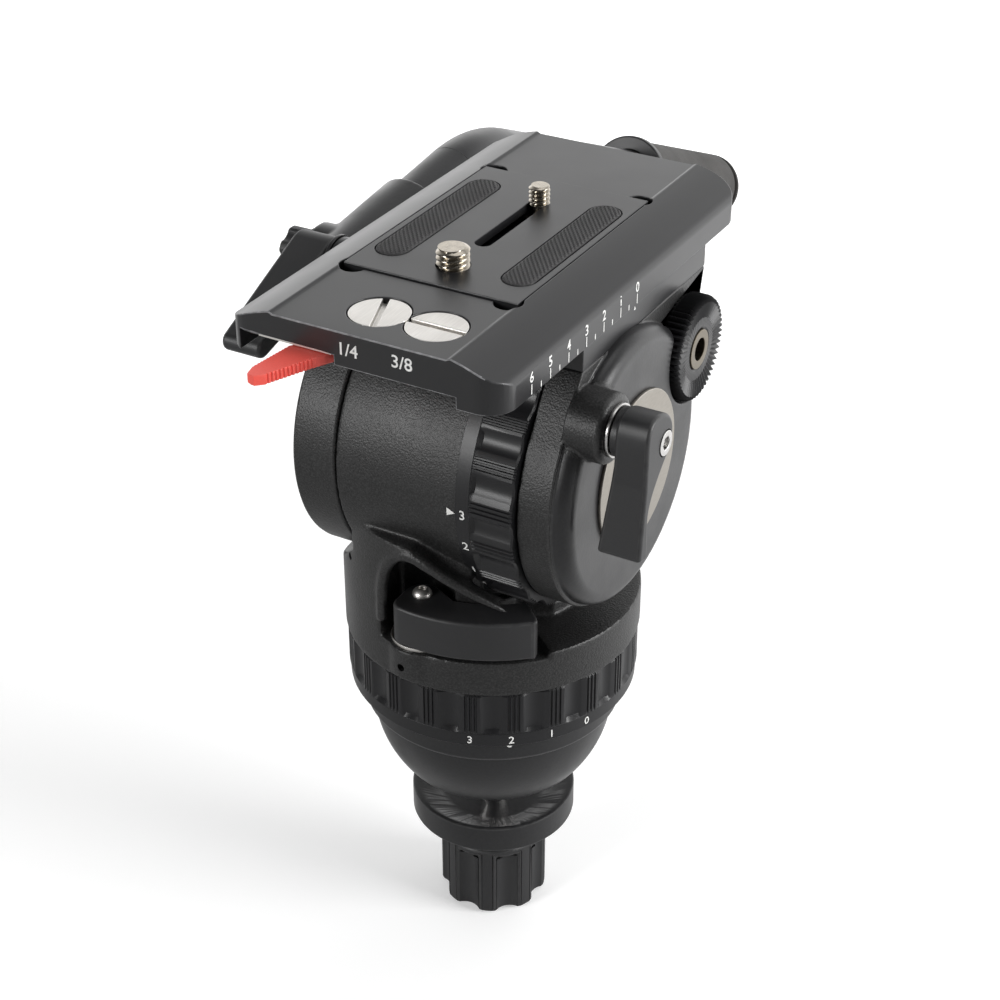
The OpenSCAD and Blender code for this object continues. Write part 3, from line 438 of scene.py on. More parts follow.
    def material(self, finish: Finish) -> bpy.types.Material:
        """Gives the material of a finish, made when first asked for.

        Args:
            finish: Finish to build.

        Returns:
            The material.
        """
        if finish in self.made:
            return self.made[finish]
        look = bpy.data.materials.new(f"{finish.slot}_{len(self.made)}")
        look.use_nodes = True
        tree = look.node_tree
        shader = tree.nodes["Principled BSDF"]
        shader.inputs["Metallic"].default_value = finish.metallic
        shader.inputs["Specular IOR Level"].default_value = finish.specular
        shader.inputs["Coat Weight"].default_value = finish.coat
        grain = self._use(tree, self.grains[finish.grain], {"Scale": 1.0 / (finish.grain_mm * MM)})
        dark = tuple(c * (1.0 - 0.5 * finish.tone) for c in finish.colour)
        pale = tuple(min(1.0, c * (1.0 + finish.tone)) for c in finish.colour)
        colour = self._mix(tree, grain.outputs["Tone"], dark, pale)
        if finish.wear > 0.0:
            wear = self._use(tree, self.edge_wear, {"Amount": finish.wear})
            colour = self._mix(tree, wear.outputs["Mask"], colour, finish.worn)
        tree.links.new(colour, shader.inputs["Base Color"])
        marks = self._use(tree, self.handling, {"Middle": finish.roughness, "Spread": finish.marks})
        tree.links.new(marks.outputs["Rough"], shader.inputs["Roughness"])
        if finish.relief_mm > 0.0:
            bump = tree.nodes.new("ShaderNodeBump")
            bump.inputs["Distance"].default_value = finish.relief_mm * MM
            tree.links.new(grain.outputs["Height"], bump.inputs["Height"])
            tree.links.new(bump.outputs["Normal"], shader.inputs["Normal"])
        self.made[finish] = look
        return look


shop = FinishShop()


def around(centre: Point, radius: float, turn: float) -> Point:
    """Gives the point at a radius and a share of a full turn round a centre."""
    a = 2.0 * math.pi * turn
    return centre[0] + radius * math.cos(a), centre[1] + radius * math.sin(a)


class Shape:
    """A mesh in the making, in millimetres."""

    def __init__(self) -> None:
        """Starts an empty shape."""
        self.bm = bmesh.new()
        self.find_wear()

    def find_wear(self) -> None:
        """Finds the faces' wear values, or makes them."""
        layers = self.bm.faces.layers.float
        self.wear = layers.get(WEAR) or layers.new(WEAR)

    @classmethod
    def of_node(cls, node: str) -> "Shape":
        """Takes over the form of a construction node, with its flat faces joined.

        Args:
            node: Name of the node.

        Returns:
            The shape, in the node's place.
        """
        shape = cls()
        shape.bm.from_mesh(frame["nodes"][node].data)
        shape.find_wear()
        bmesh.ops.scale(shape.bm, vec=Vector((1, 1, 1)) / MM, verts=shape.bm.verts)
        bmesh.ops.remove_doubles(shape.bm, verts=shape.bm.verts, dist=0.002)
        bmesh.ops.dissolve_limit(shape.bm, angle_limit=math.radians(0.4), verts=shape.bm.verts,
                                 edges=shape.bm.edges)
        return shape

    def surface(self, rows: int, columns: int, point: Callable[[int, int], Vector], close_rows: bool = False,
                close_columns: bool = True) -> "Shape":
        """Adds a grid of quads.

        Args:
            rows: Number of rows of points.
            columns: Number of points in a row.
            point: Gives the place of a row's and column's point.
            close_rows: Whether the last row joins the first.
            close_columns: Whether each row is a closed ring.

        Returns:
            This shape.
        """
        made = [[self.bm.verts.new(point(i, j)) for j in range(columns)] for i in range(rows)]
        for i in range(rows if close_rows else rows - 1):
            for j in range(columns if close_columns else columns - 1):
                a, b = made[i], made[(i + 1) % rows]
                k = (j + 1) % columns
                self.bm.faces.new((a[j], a[k], b[k], b[j]))
        if close_columns and not close_rows:
            self.bm.faces.new(reversed(made[0]))
            self.bm.faces.new(made[-1])
        return self

    def turned(self, profile: Sequence[Point], axis: Axis, centre: Point, steps: int = 128,
               closed: bool = False) -> "Shape":
        """Adds a turned form.

        Args:
            profile: Radius and place along the axis, from one end to the other.
            axis: Axis that it is turned about.
            centre: Where the axis stands on the two other directions.
            steps: Number of points round it.
            closed: Whether the profile is a loop, as for a ring.

        Returns:
            This shape.
        """
        def point(i: int, j: int) -> Vector:
            """Gives one point of the form."""
            r, along = profile[i]
            return axis.put(along, *around(centre, r, j / steps))
        return self.surface(len(profile), steps, point, close_rows=closed)

    def prism(self, outline: Sequence[Point], axis: Axis, low: float, high: float) -> "Shape":
        """Adds an outline drawn out along an axis.

        Args:
            outline: Points on the two other directions.
            axis: Axis to draw it along.
            low: Lower end.
            high: Upper end.

        Returns:
            This shape.
        """
        ends = (low, high)
        return self.surface(2, len(outline), lambda i, j: axis.put(ends[i], *outline[j]))

    def flat(self, outline: Sequence[Point], lay: Lay) -> "Shape":
        """Adds one thin printed mark.

        Args:
            outline: Points of the mark, in its own plane.
            lay: Lays a point of that plane on the surface.

        Returns:
            This shape.
        """
        self.bm.faces.new([self.bm.verts.new(lay(u, v)) for u, v in outline])
        return self

    def lettering(self, words: str, height: float, lay: Lay) -> "Shape":
        """Adds printed numbers.

        Args:
            words: Numbers to print.
            height: Height of a numeral.
            lay: Lays a point of the print's plane on the surface.

        Returns:
            This shape.
        """
        curve = bpy.data.curves.new("numerals", "FONT")
        curve.body = words
        curve.size = height / 0.7
        curve.offset = 0.015 * height
        curve.align_x = "CENTER"
        curve.align_y = "CENTER"
        curve.resolution_u = 4
        text = bpy.data.objects.new("numerals", curve)
        bpy.context.scene.collection.objects.link(text)
        bpy.context.view_layer.update()
        mesh = bpy.data.meshes.new_from_object(text.evaluated_get(bpy.context.evaluated_depsgraph_get()))
        made = [self.bm.verts.new(lay(v.co.x, v.co.y)) for v in mesh.vertices]
        for face in mesh.polygons:
            self.bm.faces.new([made[i] for i in face.vertices])
        bpy.data.objects.remove(text)
        bpy.data.curves.remove(curve)
        bpy.data.meshes.remove(mesh)
        return self

    def soften(self, width: float, segments: int = 2, angle: float = 30.0,
               chosen: Callable[[bmesh.types.BMEdge], bool] | None = None) -> "Shape":
        """Rounds the sharp edges and marks them as worn.

        Args:
            width: Width of the rounding.
            segments: Number of steps across it.
            angle: Least angle of an edge that counts as sharp, in degrees.
            chosen: Tells which edges are wanted, all if left out.

        Returns:
            This shape.
        """
        bmesh.ops.recalc_face_normals(self.bm, faces=self.bm.faces)
        sharp = [e for e in self.bm.edges if len(e.link_faces) == 2
                 and e.calc_face_angle(0.0) > math.radians(angle) and (chosen is None or chosen(e))]
        made = bmesh.ops.bevel(self.bm, geom=sharp, offset=width, offset_type="OFFSET", segments=segments,
                               profile=0.5, affect="EDGES", clamp_overlap=False)
        for face in made["faces"]:
            face[self.wear] = 1.0
        return self

    def _through(self, *steps: tuple[str, dict[str, object]]) -> "Shape":
        """Runs modifiers over the shape.

        Args:
            *steps: Kind and settings of each modifier.

        Returns:
            This shape.
        """
        mesh = bpy.data.meshes.new("bench")
        self.bm.to_mesh(mesh)
        bench = bpy.data.objects.new("bench", mesh)
        bpy.context.scene.collection.objects.link(bench)
        for kind, settings in steps:
            modifier = bench.modifiers.new(kind, kind)
            for setting, value in settings.items():
                setattr(modifier, setting, value)
        bpy.context.view_layer.update()
        result = bpy.data.meshes.new_from_object(bench.evaluated_get(bpy.context.evaluated_depsgraph_get()))
        self.bm.clear()
        self.bm.from_mesh(result)
        self.find_wear()
        bpy.data.objects.remove(bench)
        bpy.data.meshes.remove(mesh)
        bpy.data.meshes.remove(result)
        return self

    def melt(self, cell: float, passes: int) -> "Shape":
        """Rounds all edges softly, as a cast and coated form has them.

        Args:
            cell: Size of the new faces.
            passes: How often the surface is smoothed.

        Returns:
            This shape.
        """
        return self._through(("REMESH", {"mode": "VOXEL", "voxel_size": cell}),
                             ("SMOOTH", {"factor": 0.5, "iterations": passes}))

    def join(self, other: "Shape") -> "Shape":
        """Puts another shape's faces beside this one's.

        Args:
            other: Shape to take in.

        Returns:
            This shape.
        """
        mesh = bpy.data.meshes.new("joined")
        other.bm.to_mesh(mesh)
        other.bm.free()
        self.bm.from_mesh(mesh)
        bpy.data.meshes.remove(mesh)
        return self

    def cut(self, tool: "Shape") -> "Shape":
        """Takes another shape away from this one.

        Args:
            tool: Shape to take away.

        Returns:
            This shape.
        """
        bmesh.ops.recalc_face_normals(self.bm, faces=self.bm.faces)
        bmesh.ops.recalc_face_normals(tool.bm, faces=tool.bm.faces)
        mesh = bpy.data.meshes.new("tool")
        tool.bm.to_mesh(mesh)
        cutter = bpy.data.objects.new("tool", mesh)
        bpy.context.scene.collection.objects.link(cutter)
        self._through(("BOOLEAN", {"operation": "DIFFERENCE", "solver": "MANIFOLD", "object": cutter}))
        bpy.data.objects.remove(cutter)
        bpy.data.meshes.remove(mesh)
        tool.bm.free()
        return self

    def piece(self, name: str, body: str, finish: Finish, replaces: Iterable[str] = (),
              smooth: float = 32.0, solid: bool = True) -> bpy.types.Object:
        """Turns the shape into a finished piece of the head.

        Args:
            name: Name of the piece.
            body: Body that it moves with.
            finish: Finish of its surface.
            replaces: Construction nodes that it stands for.
            smooth: Edges below this angle, in degrees, are shaded as round.
            solid: Whether it is a closed form whose faces look outwards.

        Returns:
            The piece.
        """
        if solid:
            bmesh.ops.recalc_face_normals(self.bm, faces=self.bm.faces)
        bmesh.ops.scale(self.bm, vec=Vector((MM, MM, MM)), verts=self.bm.verts)
        mesh = bpy.data.meshes.new(name)
        self.bm.to_mesh(mesh)
        self.bm.free()
        mesh.shade_smooth()
        mesh.set_sharp_from_angle(angle=math.radians(smooth))
        mesh.materials.append(shop.material(finish))
        made = bpy.data.objects.new(name, mesh)
        bpy.context.scene.collection.objects.link(made)
        if solid:
            made.modifiers.new("even_shading", "WEIGHTED_NORMAL").keep_sharp = True
        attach(made, body)
        nodes = list(replaces)
        if nodes:
            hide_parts(*nodes)
        log.info("%s on %s: %d faces", name, body, len(mesh.polygons))
        return made

    def printed(self, name: str, body: str) -> bpy.types.Object:
        """Turns flat marks into pale print on a body."""
        return self.piece(f"{name}.print", body, PRINT, solid=False)


def body_of(node: str) -> str:
    """Names the body that a construction node belongs to."""
    return frame["nodes"][node]["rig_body"]


def span(node: str) -> tuple[Vector, Vector]:
    """Gives a node's lowest and highest corners in millimetres."""
    low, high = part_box(node)
    return low / MM, high / MM


def middle(node: str) -> Vector:
    """Gives the middle of a node's box in millimetres."""
    low, high = span(node)
    return (low + high) / 2.0


def drum() -> tuple[Vector, float]:
    """Gives the tilt axle's middle and the drum's radius in millimetres."""
    axle = middle("tilt_axle")
    return axle, span("main_body")[1].z - axle.z


def is_level(edge: bmesh.types.BMEdge) -> bool:
    """Tells whether an edge lies level."""
    return abs(edge.verts[0].co.z - edge.verts[1].co.z) < 0.01


def softened(node: str, finish: Finish, width: float, segments: int = 2,
             angle: float = 30.0) -> bpy.types.Object:
    """Makes a node's own form with softened edges.

    Args:
        node: Name of the node.
        finish: Finish of the piece.
        width: Width of the softened edges.
        segments: Steps across an edge.
        angle: Least angle of an edge that is softened, in degrees.

    Returns:
        The piece, which replaces the node.
    """
    shape = Shape.of_node(node).soften(width, segments, angle)
    return shape.piece(f"{node}.skin", body_of(node), finish, [node])


def washer(node: str, axis: Axis, bore: float, radius: float, finish: Finish) -> bpy.types.Object:
    """Makes a washer with softened edges.

    Args:
        node: Name of the washer's node.
        axis: Axis that it lies across.
        bore: Radius of its hole.
        radius: Radius of its edge.
        finish: Finish of the piece.

    Returns:
        The piece, which replaces the node.
    """
    low, high = (corner[axis.value] for corner in span(node))
    mid = middle(node)
    centre = (mid[(axis.value + 1) % 3], mid[(axis.value + 2) % 3])
    profile = [(bore, low), (radius, low), (radius, high), (bore, high)]
    shape = Shape().turned(profile, axis, centre, 96, closed=True).soften(0.25)
    return shape.piece(f"{node}.ring", body_of(node), finish, [node])


def coat(finish: Finish, *nodes: str) -> None:
    """Gives construction nodes a finish and leaves their form as it is.

    Args:
        finish: Finish to give.
        *nodes: Names of the nodes.
    """
    for node in nodes:
        slots = frame["nodes"][node].data.materials
        slots.clear()
        slots.append(shop.material(finish))
        log.info("%s keeps its form", node)


def arc(centre: Point, radius: float, start: float, end: float, steps: int = 8) -> list[Point]:
    """Gives points on an arc.

    Args:
        centre: Centre of the arc.
        radius: Its radius.
        start: First angle in degrees.
        end: Last angle in degrees.
        steps: Number of steps between them.

    Returns:
        The points, from start to end.
    """
    turns = [(start + (end - start) * i / steps) / 360.0 for i in range(steps + 1)]
    return [around(centre, radius, turn) for turn in turns]


def circle(radius: float, count: int = 24) -> list[Point]:
    """Gives points round a circle about the origin."""
    return arc((0.0, 0.0), radius, 0.0, 360.0 - 360.0 / count, count - 1)


def flowing(places: Sequence[Sequence[float]], steps: int = 4) -> list[tuple[float, ...]]:
    """Draws a smooth line through given places.

    Args:
        places: Numbers of each place, all of the same count.
        steps: Number of points from one place to the next.

    Returns:
        The line's points, with the given places among them.
    """
    line: list[tuple[float, ...]] = []
    last = len(places) - 1
    for i in range(last):
        before, a, b, after = places[max(i - 1, 0)], places[i], places[i + 1], places[min(i + 2, last)]
        for k in range(steps):
            t = k / steps
            line.append(tuple(
                0.5 * (2.0 * q + (r - p) * t + (2.0 * p - 5.0 * q + 4.0 * r - s) * t ** 2
                       + (3.0 * q - p - 3.0 * r + s) * t ** 3)
                for p, q, r, s in zip(before, a, b, after)))
    line.append(tuple(places[last]))
    return line


def on_plane(origin: Vector, right: Vector, up: Vector) -> Lay:
    """Gives a function that lays print on a flat face.

    Args:
        origin: Middle of the print.
        right: Direction of reading.
        up: Direction of the numerals' height.

    Returns:
        The function.
    """
    return lambda u, v: origin + right * u + up * v


def on_pan_ring(radius: float, turn: float, height: float) -> Lay:
    """Gives a function that lays print round the pan axis.

    Args:
        radius: Radius of the print.
        turn: Angle of its middle from +X, in degrees.
        height: Height of its middle.

    Returns:
        The function.
    """
    def lay(u: float, v: float) -> Vector:
        """Lays one point."""
        a = math.radians(turn) + u / radius
        return Vector((radius * math.cos(a), radius * math.sin(a), height + v))
    return lay


def on_tilt_ring(radius: float, turn: float, place: float, axis_z: float) -> Lay:
    """Gives a function that lays print round the tilt axis, on its front side.

    Args:
        radius: Radius of the print.
        turn: Angle of its middle above straight forward, in degrees.
        place: Its middle along the tilt axis.
        axis_z: Height of the tilt axis.

    Returns:
        The function.
    """
    def lay(u: float, v: float) -> Vector:
        """Lays one point."""
        a = math.radians(turn) + v / radius
        return Vector((place + u, -radius * math.cos(a), axis_z + radius * math.sin(a)))
    return lay


@dataclass
class RibbedRing:
    """A drag ring: a plain number band beside finger scoops and finely grooved lands."""

    axis: Axis  # Axis that it turns about
    centre: Point  # Where the axis stands
    bore: float  # Radius of its hole
    band: float  # Radius of the number band
    crown: float  # Radius over the lands
    low: float  # End with the number band
    step: float  # Where the band ends
    high: float  # Other end
    skirt: float = 0.0  # How far the number band reaches over the part beside it
    skirt_bore: float = 0.0  # Radius of the hole in that reach
    count: int = 22  # Number of scoops
    scoop: float = 1.3  # Depth of a scoop
    scoop_share: float = 0.56  # Share of a period that a scoop takes
    scoop_steps: int = 14  # Number of points across a scoop
    grooves: int = 3  # Number of fine grooves on a land
    groove: float = 0.45  # Depth of a fine groove
    lip: float = 0.5  # Bevel of the ring's edges
    ramp: float = 1.1  # Length over which a scoop deepens

    def sink(self) -> list[Point]:
        """Works out one period of scoop and land.

        Returns:
            Share of the period and depth below the crown of each point.
        """
        shares = [i / self.scoop_steps for i in range(self.scoop_steps)]
        pairs = [(t * self.scoop_share, self.scoop * math.sin(math.pi * t) ** 0.8) for t in shares]
        land = (1.0 - self.scoop_share) / (self.grooves + 1)
        for k in range(self.grooves):
            mid = self.scoop_share + land * (k + 1)
            for shift, share in ((-0.34, 0.0), (-0.16, 1.0), (0.16, 1.0), (0.34, 0.0)):
                pairs.append((mid + shift * land, self.groove * share))
        return pairs

    def band_end(self) -> list[Point]:
        """Works out the profile at the number band's end.

        Returns:
            Radius and place along the axis of its points.
        """
        if self.skirt == 0.0:
            return [(self.bore, self.low), (self.band - self.lip, self.low), (self.band, self.low + self.lip)]
        thin = (self.band - self.skirt_bore) / 2.0
        end = self.low - self.skirt
        return [(self.bore, self.low), (self.skirt_bore, self.low), (self.skirt_bore, end),
                (self.band - thin, end), (self.band, end + thin)]

    def shape(self) -> Shape:
        """Builds the ring's form.

        Returns:
            The closed form.
        """
        period = self.sink()
        columns = [((k + share) / self.count, depth) for k in range(self.count) for share, depth in period]
        start, end = self.step + self.lip, self.high - self.lip
        rows = [*((r, along, 0.0) for r, along in self.band_end()), (self.band, self.step - 0.2, 0.0),
                (self.crown - self.lip, self.step, 0.0), (self.crown, start, 0.0),
                (self.crown, start + 0.01, 0.0), (self.crown, start + self.ramp, 1.0),
                (self.crown, end - self.ramp, 1.0), (self.crown, end, 0.9),
                (self.crown - self.lip, self.high, 0.9), (self.bore, self.high, 0.0)]

        def point(i: int, j: int) -> Vector:
            """Gives one point of the ring."""
            (r, along, share), (turn, depth) = rows[i], columns[j]
            return self.axis.put(along, *around(self.centre, r - depth * share, turn))
        return Shape().surface(len(rows), len(columns), point, close_rows=True)


@dataclass
class BaseGroup:
    """Half ball, tie-down and base plate."""

    edge: float = 0.6  # Softening of turned edges
    broad_edge: float = 1.2  # Softening of the base plate's and the knob's edges
    index_turn: float = -53.5  # Angle of the pan index mark from +X
    index_r: float = 0.75  # Radius of the index mark's dot
    index_drop: float = 2.4  # How far the dot lies below the base plate's top

    def build(self) -> None:
        """Builds and dresses the fixed base."""
        softened("half_ball", SATIN, self.edge)
        softened("base_plate", SATIN, self.broad_edge, 3)
        softened("clamp_cup", SATIN, self.edge)
        softened("tie_down_knob", LEVER, self.broad_edge, 3)
        coat(STEEL, "tie_down_stud", "base_screws", "pan_post", "pan_nut")
        coat(SATIN, "pan_drag_cartridge")
        self.index_dot()

    def index_dot(self) -> None:
        """Prints the pan index on the base plate's edge."""
        corner = span("base_plate")[1]
        lay = on_pan_ring(corner.x + PRINT_LIFT, self.index_turn, corner.z - self.index_drop)
        Shape().flat(circle(self.index_r), lay).printed("pan_index", "base")


@dataclass
class PanGroup:
    """Turning housing with the drum, the pan drag ring, its lever and the level."""

    number_step: float = 16.0  # Angle between the pan ring's numbers
    number_h: float = 2.5  # Height of a printed number
    band_drop: float = 0.4  # How far the ring's number band lies below its lands
    ring_fit: float = 0.05  # Clearance of the ring on its cartridge
    cast_cell: float = 0.65  # Fineness of the casting's surface
    cast_passes: int = 7  # How often that surface is smoothed
    # Places along the lip of the lever's arched recess: X, Z and the lip's radius
    lip: tuple[Place, ...] = (
        (-12.9, 45.0, 1.6), (-12.7, 52.0, 1.7), (-12.3, 58.0, 1.7), (-10.8, 63.5, 1.75), (-7.9, 68.2, 1.8),
        (-4.4, 70.7, 1.8), (-1.0, 71.3, 1.8), (2.8, 70.3, 1.75), (8.1, 67.3, 1.6), (13.7, 64.2, 1.4),
        (19.0, 61.1, 1.2), (23.0, 58.6, 0.9), (25.5, 57.0, 0.5))
    lip_sides: int = 16  # Number of points round the lip
    # Places along the brow above it, where the casting falls back: X, Z and the height of the fall
    brow: tuple[Place, ...] = (
        (3.0, 71.8, 0.6), (8.0, 68.6, 3.0), (14.1, 65.2, 4.0), (19.0, 61.8, 4.5), (23.0, 58.6, 5.5),
        (27.0, 53.0, 8.0))
    brow_reach: Point = (5.0, 4.0)  # How far the fall reaches in and out from the housing's side
    rim_skin: float = 0.02  # What stays on the rim under the forms that are taken off above it
    ledge_in: float = 5.2  # How far inside the tilt ring's outer end the open ledge starts
    ledge_y: Point = (-16.0, 1.0)  # Where the ledge's inner edge turns, and where the ledge ends
    ledge_h: float = 34.0  # How far the form above the ledge reaches up
    hollow_x: Point = (13.5, 1.0)  # How far the hollow behind the lever reaches in and out from that end
    # Front of the hollow, and its back on the inner and the outer side
    hollow_y: Place = (-30.0, -17.5, -8.0)
    hollow_h: float = 12.0  # How far the hollow reaches up
    lever_w: float = 11.0  # Width of the pan lever
    lever_inner_end: float = -79.0  # Angle from +X where its inner edge meets its head
    lever_corner: float = 4.0  # Rounding of its corner beside its pivot
    lever_head: float = 5.6  # Distance of its end from the pivot
    lever_round: Point = (2.2, 0.9)  # Rounding of its upright and of its level edges
    washer_bore: float = 3.0  # Radius of the hole in the washer under it
    washer_r: float = 9.4  # Radius of that washer
    screw_r: float = 2.9  # Radius of its screw's domed head
    shank_r: float = 2.2  # Radius of the screw's shank
    screw_drop: float = 0.2  # How far the head's straight rim ends below the node's top
    screw_rim: float = 1.0  # Height of that rim, and of the socket's floor above it
    dome_h: float = 2.1  # Height of the full dome that the head is part of
    socket_r: float = 1.2  # Radius of the socket's floor
    # Angle from +X and height of the small set-screw holes
    holes: tuple[Point, ...] = ((-95.6, 33.2), (-128.7, 57.9))
    hole_r: float = 1.25  # Radius of such a hole
    hole_depth: float = 3.5  # Its depth
    tilt_index_turn: float = -2.3  # Angle of the tilt index mark above straight forward
    tilt_index_gap: float = 3.1  # Distance of its middle from the tilt drag ring
    tilt_index_half: Point = (1.3, 1.25)  # Half its length and half its height

    def build(self, base: BaseGroup) -> None:
        """Builds and dresses the turning housing.

        Args:
            base: The base, whose index mark the ring's numbers follow.
        """
        self.ring(base.index_turn)
        self.casting()
        coat(STEEL, "pan_bearing", "left_tilt_bearing", "right_tilt_bearing", "counterbalance_spring")
        coat(BRASS, "pan_brake_shoe")
        coat(SATIN, "drum_end_plate", "tilt_drag_cartridge")
        softened("level_holder", RING, 0.4)
        softened("level_vial", VIAL, 0.4)
        self.lever()
        washer("pan_lever_washer", Axis.Z, self.washer_bore, self.washer_r, SPARE)
        self.lever_screw()
        self.drum_index()

    def ring(self, index_turn: float) -> None:
        """Builds the pan drag ring and its numbers.

        Args:
            index_turn: Angle of the index mark.
        """
        low, high = span("pan_drag_ring")
        band = high.x - self.band_drop
        bore = span("pan_drag_cartridge")[1].x + self.ring_fit
        ring = RibbedRing(Axis.Z, (0.0, 0.0), bore, band, high.x, low.z, low.z + BAND_W, high.z)
        ring.shape().piece("pan_drag_ring.ribbed", "pan_ring", RING, ["pan_drag_ring"])
        numbers = Shape()
        for place, number in enumerate(DRAG_NUMBERS):
            turn = index_turn + self.number_step * (place - 1)
            lay = on_pan_ring(band + PRINT_LIFT, turn, low.z + BAND_W / 2.0)
            numbers.lettering(number, self.number_h, lay)
        numbers.printed("pan_numbers", "pan_ring")

    def casting(self) -> None:
        """Builds the housing, pedestal and drum as one softly rounded casting."""
        reach = -span("main_body")[0].x
        body = Shape.of_node("main_body").cut(self.brow_fall(reach))
        body.cut(self.open_ledge(reach)).cut(self.hollow())
        body.join(self.arch_lip(reach)).melt(self.cast_cell, self.cast_passes)
        for turn, height in self.holes:
            body.cut(self.drill(turn, height, reach))
        body.piece("main_body.cast", "pan_body", POWDER, ["main_body"])

    def drill(self, turn: float, height: float, reach: float) -> Shape:
        """Builds the form that drills a set-screw hole.

        Args:
            turn: Angle of the hole from +X, in degrees.
            height: Height of the hole.
            reach: Radius of the housing.

        Returns:
            The form to take away.
        """
        way = Vector((math.cos(math.radians(turn)), math.sin(math.radians(turn)), 0.0))
        side = Vector((-way.y, way.x, 0.0))
        ring = circle(self.hole_r)
        ends = (reach - self.hole_depth, reach + OVERCUT)

        def point(i: int, j: int) -> Vector:
            """Gives one point of the drill."""
            u, v = ring[j]
            return way * ends[i] + side * u + UP * (height + v)
        return Shape().surface(2, len(ring), point)

    def arch_lip(self, reach: float) -> Shape:
        """Builds the rounded lip round the pan lever's recess.

        Args:
            reach: Radius of the housing.

        Returns:
            The lip, as a closed tube that lies on the housing and thins out to the right.
        """
        line = flowing(self.lip)
        spine = [Vector((x, -math.sqrt((reach - 0.5 * r) ** 2 - x * x), z)) for x, z, r in line]
        ways = []
        for i, (place, (_, _, r)) in enumerate(zip(spine, line)):
            along = (spine[min(i + 1, len(spine) - 1)] - spine[max(i - 1, 0)]).normalized()
            out = Vector((place.x, place.y, 0.0)).normalized()
            out = (out - along * out.dot(along)).normalized()
            ways.append((out * r, along.cross(out) * r))
        section = circle(1.0, self.lip_sides)

        def point(i: int, j: int) -> Vector:
            """Gives one point of the tube."""
            (out, across), (u, v) = ways[i], section[j]
            return spine[i] + out * u + across * v
        return Shape().surface(len(spine), self.lip_sides, point)

    def brow_fall(self, reach: float) -> Shape:
        """Builds the form that is taken off above the lip, so that the brow falls back under the drum.

        Args:
            reach: Radius of the housing.

        Returns:
            The form to take away.
        """
        line = flowing(self.brow)
        inner, outer = reach - self.brow_reach[0], reach + self.brow_reach[1]
        corners = ((inner, 0.0), (outer, 0.0), (outer, 1.0), (inner, 1.0))

        def point(i: int, j: int) -> Vector:
            """Gives one corner of the form."""
            (x, z, rise), (r, share) = line[i], corners[j]
            return Vector((x, -math.sqrt(r * r - x * x), z + rise * share))
        return Shape().surface(len(line), len(corners), point)

    def open_ledge(self, reach: float) -> Shape:
        """Builds the form that is taken off beside the lever, where the rim lies open.

        Args:
            reach: Radius of the housing.

        Returns:
            The form to take away.
        """
        side = span("tilt_drag_ring")[1].x
        inner, outer = side - self.ledge_in, reach + OVERCUT
        turn, end = self.ledge_y
        plan = [(inner, -outer), (outer, -outer), (outer, end), (side, end), (inner, turn)]
        return self.above_rim(plan, self.ledge_h)

    def hollow(self) -> Shape:
        """Builds the form that is taken off behind the lever's end, under the tilt ring.

        Returns:
            The form to take away.
        """
        side = span("tilt_drag_ring")[1].x
        inner, outer = side - self.hollow_x[0], side + self.hollow_x[1]
        front, inner_back, outer_back = self.hollow_y
        plan = [(inner, front), (outer, front), (outer, outer_back), (inner, inner_back)]
        return self.above_rim(plan, self.hollow_h)

    def above_rim(self, plan: Sequence[Point], height: float) -> Shape:
        """Builds an upright form that stands on the housing's rim.

        Args:
            plan: Its corners on X and Y.
            height: How far it reaches above the rim.

        Returns:
            The form.
        """
        rim = span("level_holder")[0].z
        return Shape().prism(plan, Axis.Z, rim + self.rim_skin, rim + height)

    def lever(self) -> None:
        """Builds the pan lever, which is curved as the housing is."""
        low, high = span("pan_lock_lever")
        hub = middle("pan_lever_screw")
        outer = -low.y
        end = math.degrees(math.acos(high.x / outer))
        corner = self.lever_corner
        left = hub.x - self.lever_head
        front = math.sqrt((outer - corner) ** 2 - (left + corner) ** 2)
        turn = math.degrees(math.atan2(front, -left - corner))
        outline = arc((0.0, 0.0), outer, turn - 180.0, -end, 28)
        outline += arc((0.0, 0.0), outer - self.lever_w, -end, self.lever_inner_end, 20)
        outline += arc((hub.x, hub.y), self.lever_head, 60, 180, 12)
        outline += arc((left + corner, -front), corner, 180, turn + 180.0, 8)[:-1]
        upright, level = self.lever_round
        lever = Shape().prism(outline, Axis.Z, low.z, high.z)
        lever.soften(upright, 4, 50.0, lambda edge: not is_level(edge)).soften(level, 3)
        lever.piece("pan_lock_lever.arm", "pan_lever", LEVER, ["pan_lock_lever"])

    def lever_screw(self) -> None:
        """Builds the domed screw that holds the pan lever."""
        low, high = span("pan_lever_screw")
        hub = middle("pan_lever_screw")
        top = high.z - self.screw_drop
        seat = top - self.screw_rim
        turns = (0.0, 0.3, 0.6, 0.9, 1.1)
        dome = [(self.screw_r * math.cos(t), top + self.dome_h * math.sin(t)) for t in turns]
        profile = [(self.shank_r, low.z), (self.shank_r, seat), (self.screw_r, seat), *dome,
                   (self.socket_r, top + self.screw_rim)]
        screw = Shape().turned(profile, Axis.Z, (hub.x, hub.y), 48)
        screw.piece("pan_lever_screw.dome", "pan_lever", SPARE, ["pan_lever_screw"])

    def drum_index(self) -> None:
        """Prints the tilt drag index on the drum."""
        axle, drum_r = drum()
        place = span("tilt_drag_ring")[0].x - self.tilt_index_gap
        lay = on_tilt_ring(drum_r + 2.0 * PRINT_LIFT, self.tilt_index_turn, place, axle.z)
        u, v = self.tilt_index_half
        Shape().flat([(-u, -v), (u, 0.0), (-u, v)], lay).printed("tilt_index", "pan_body")


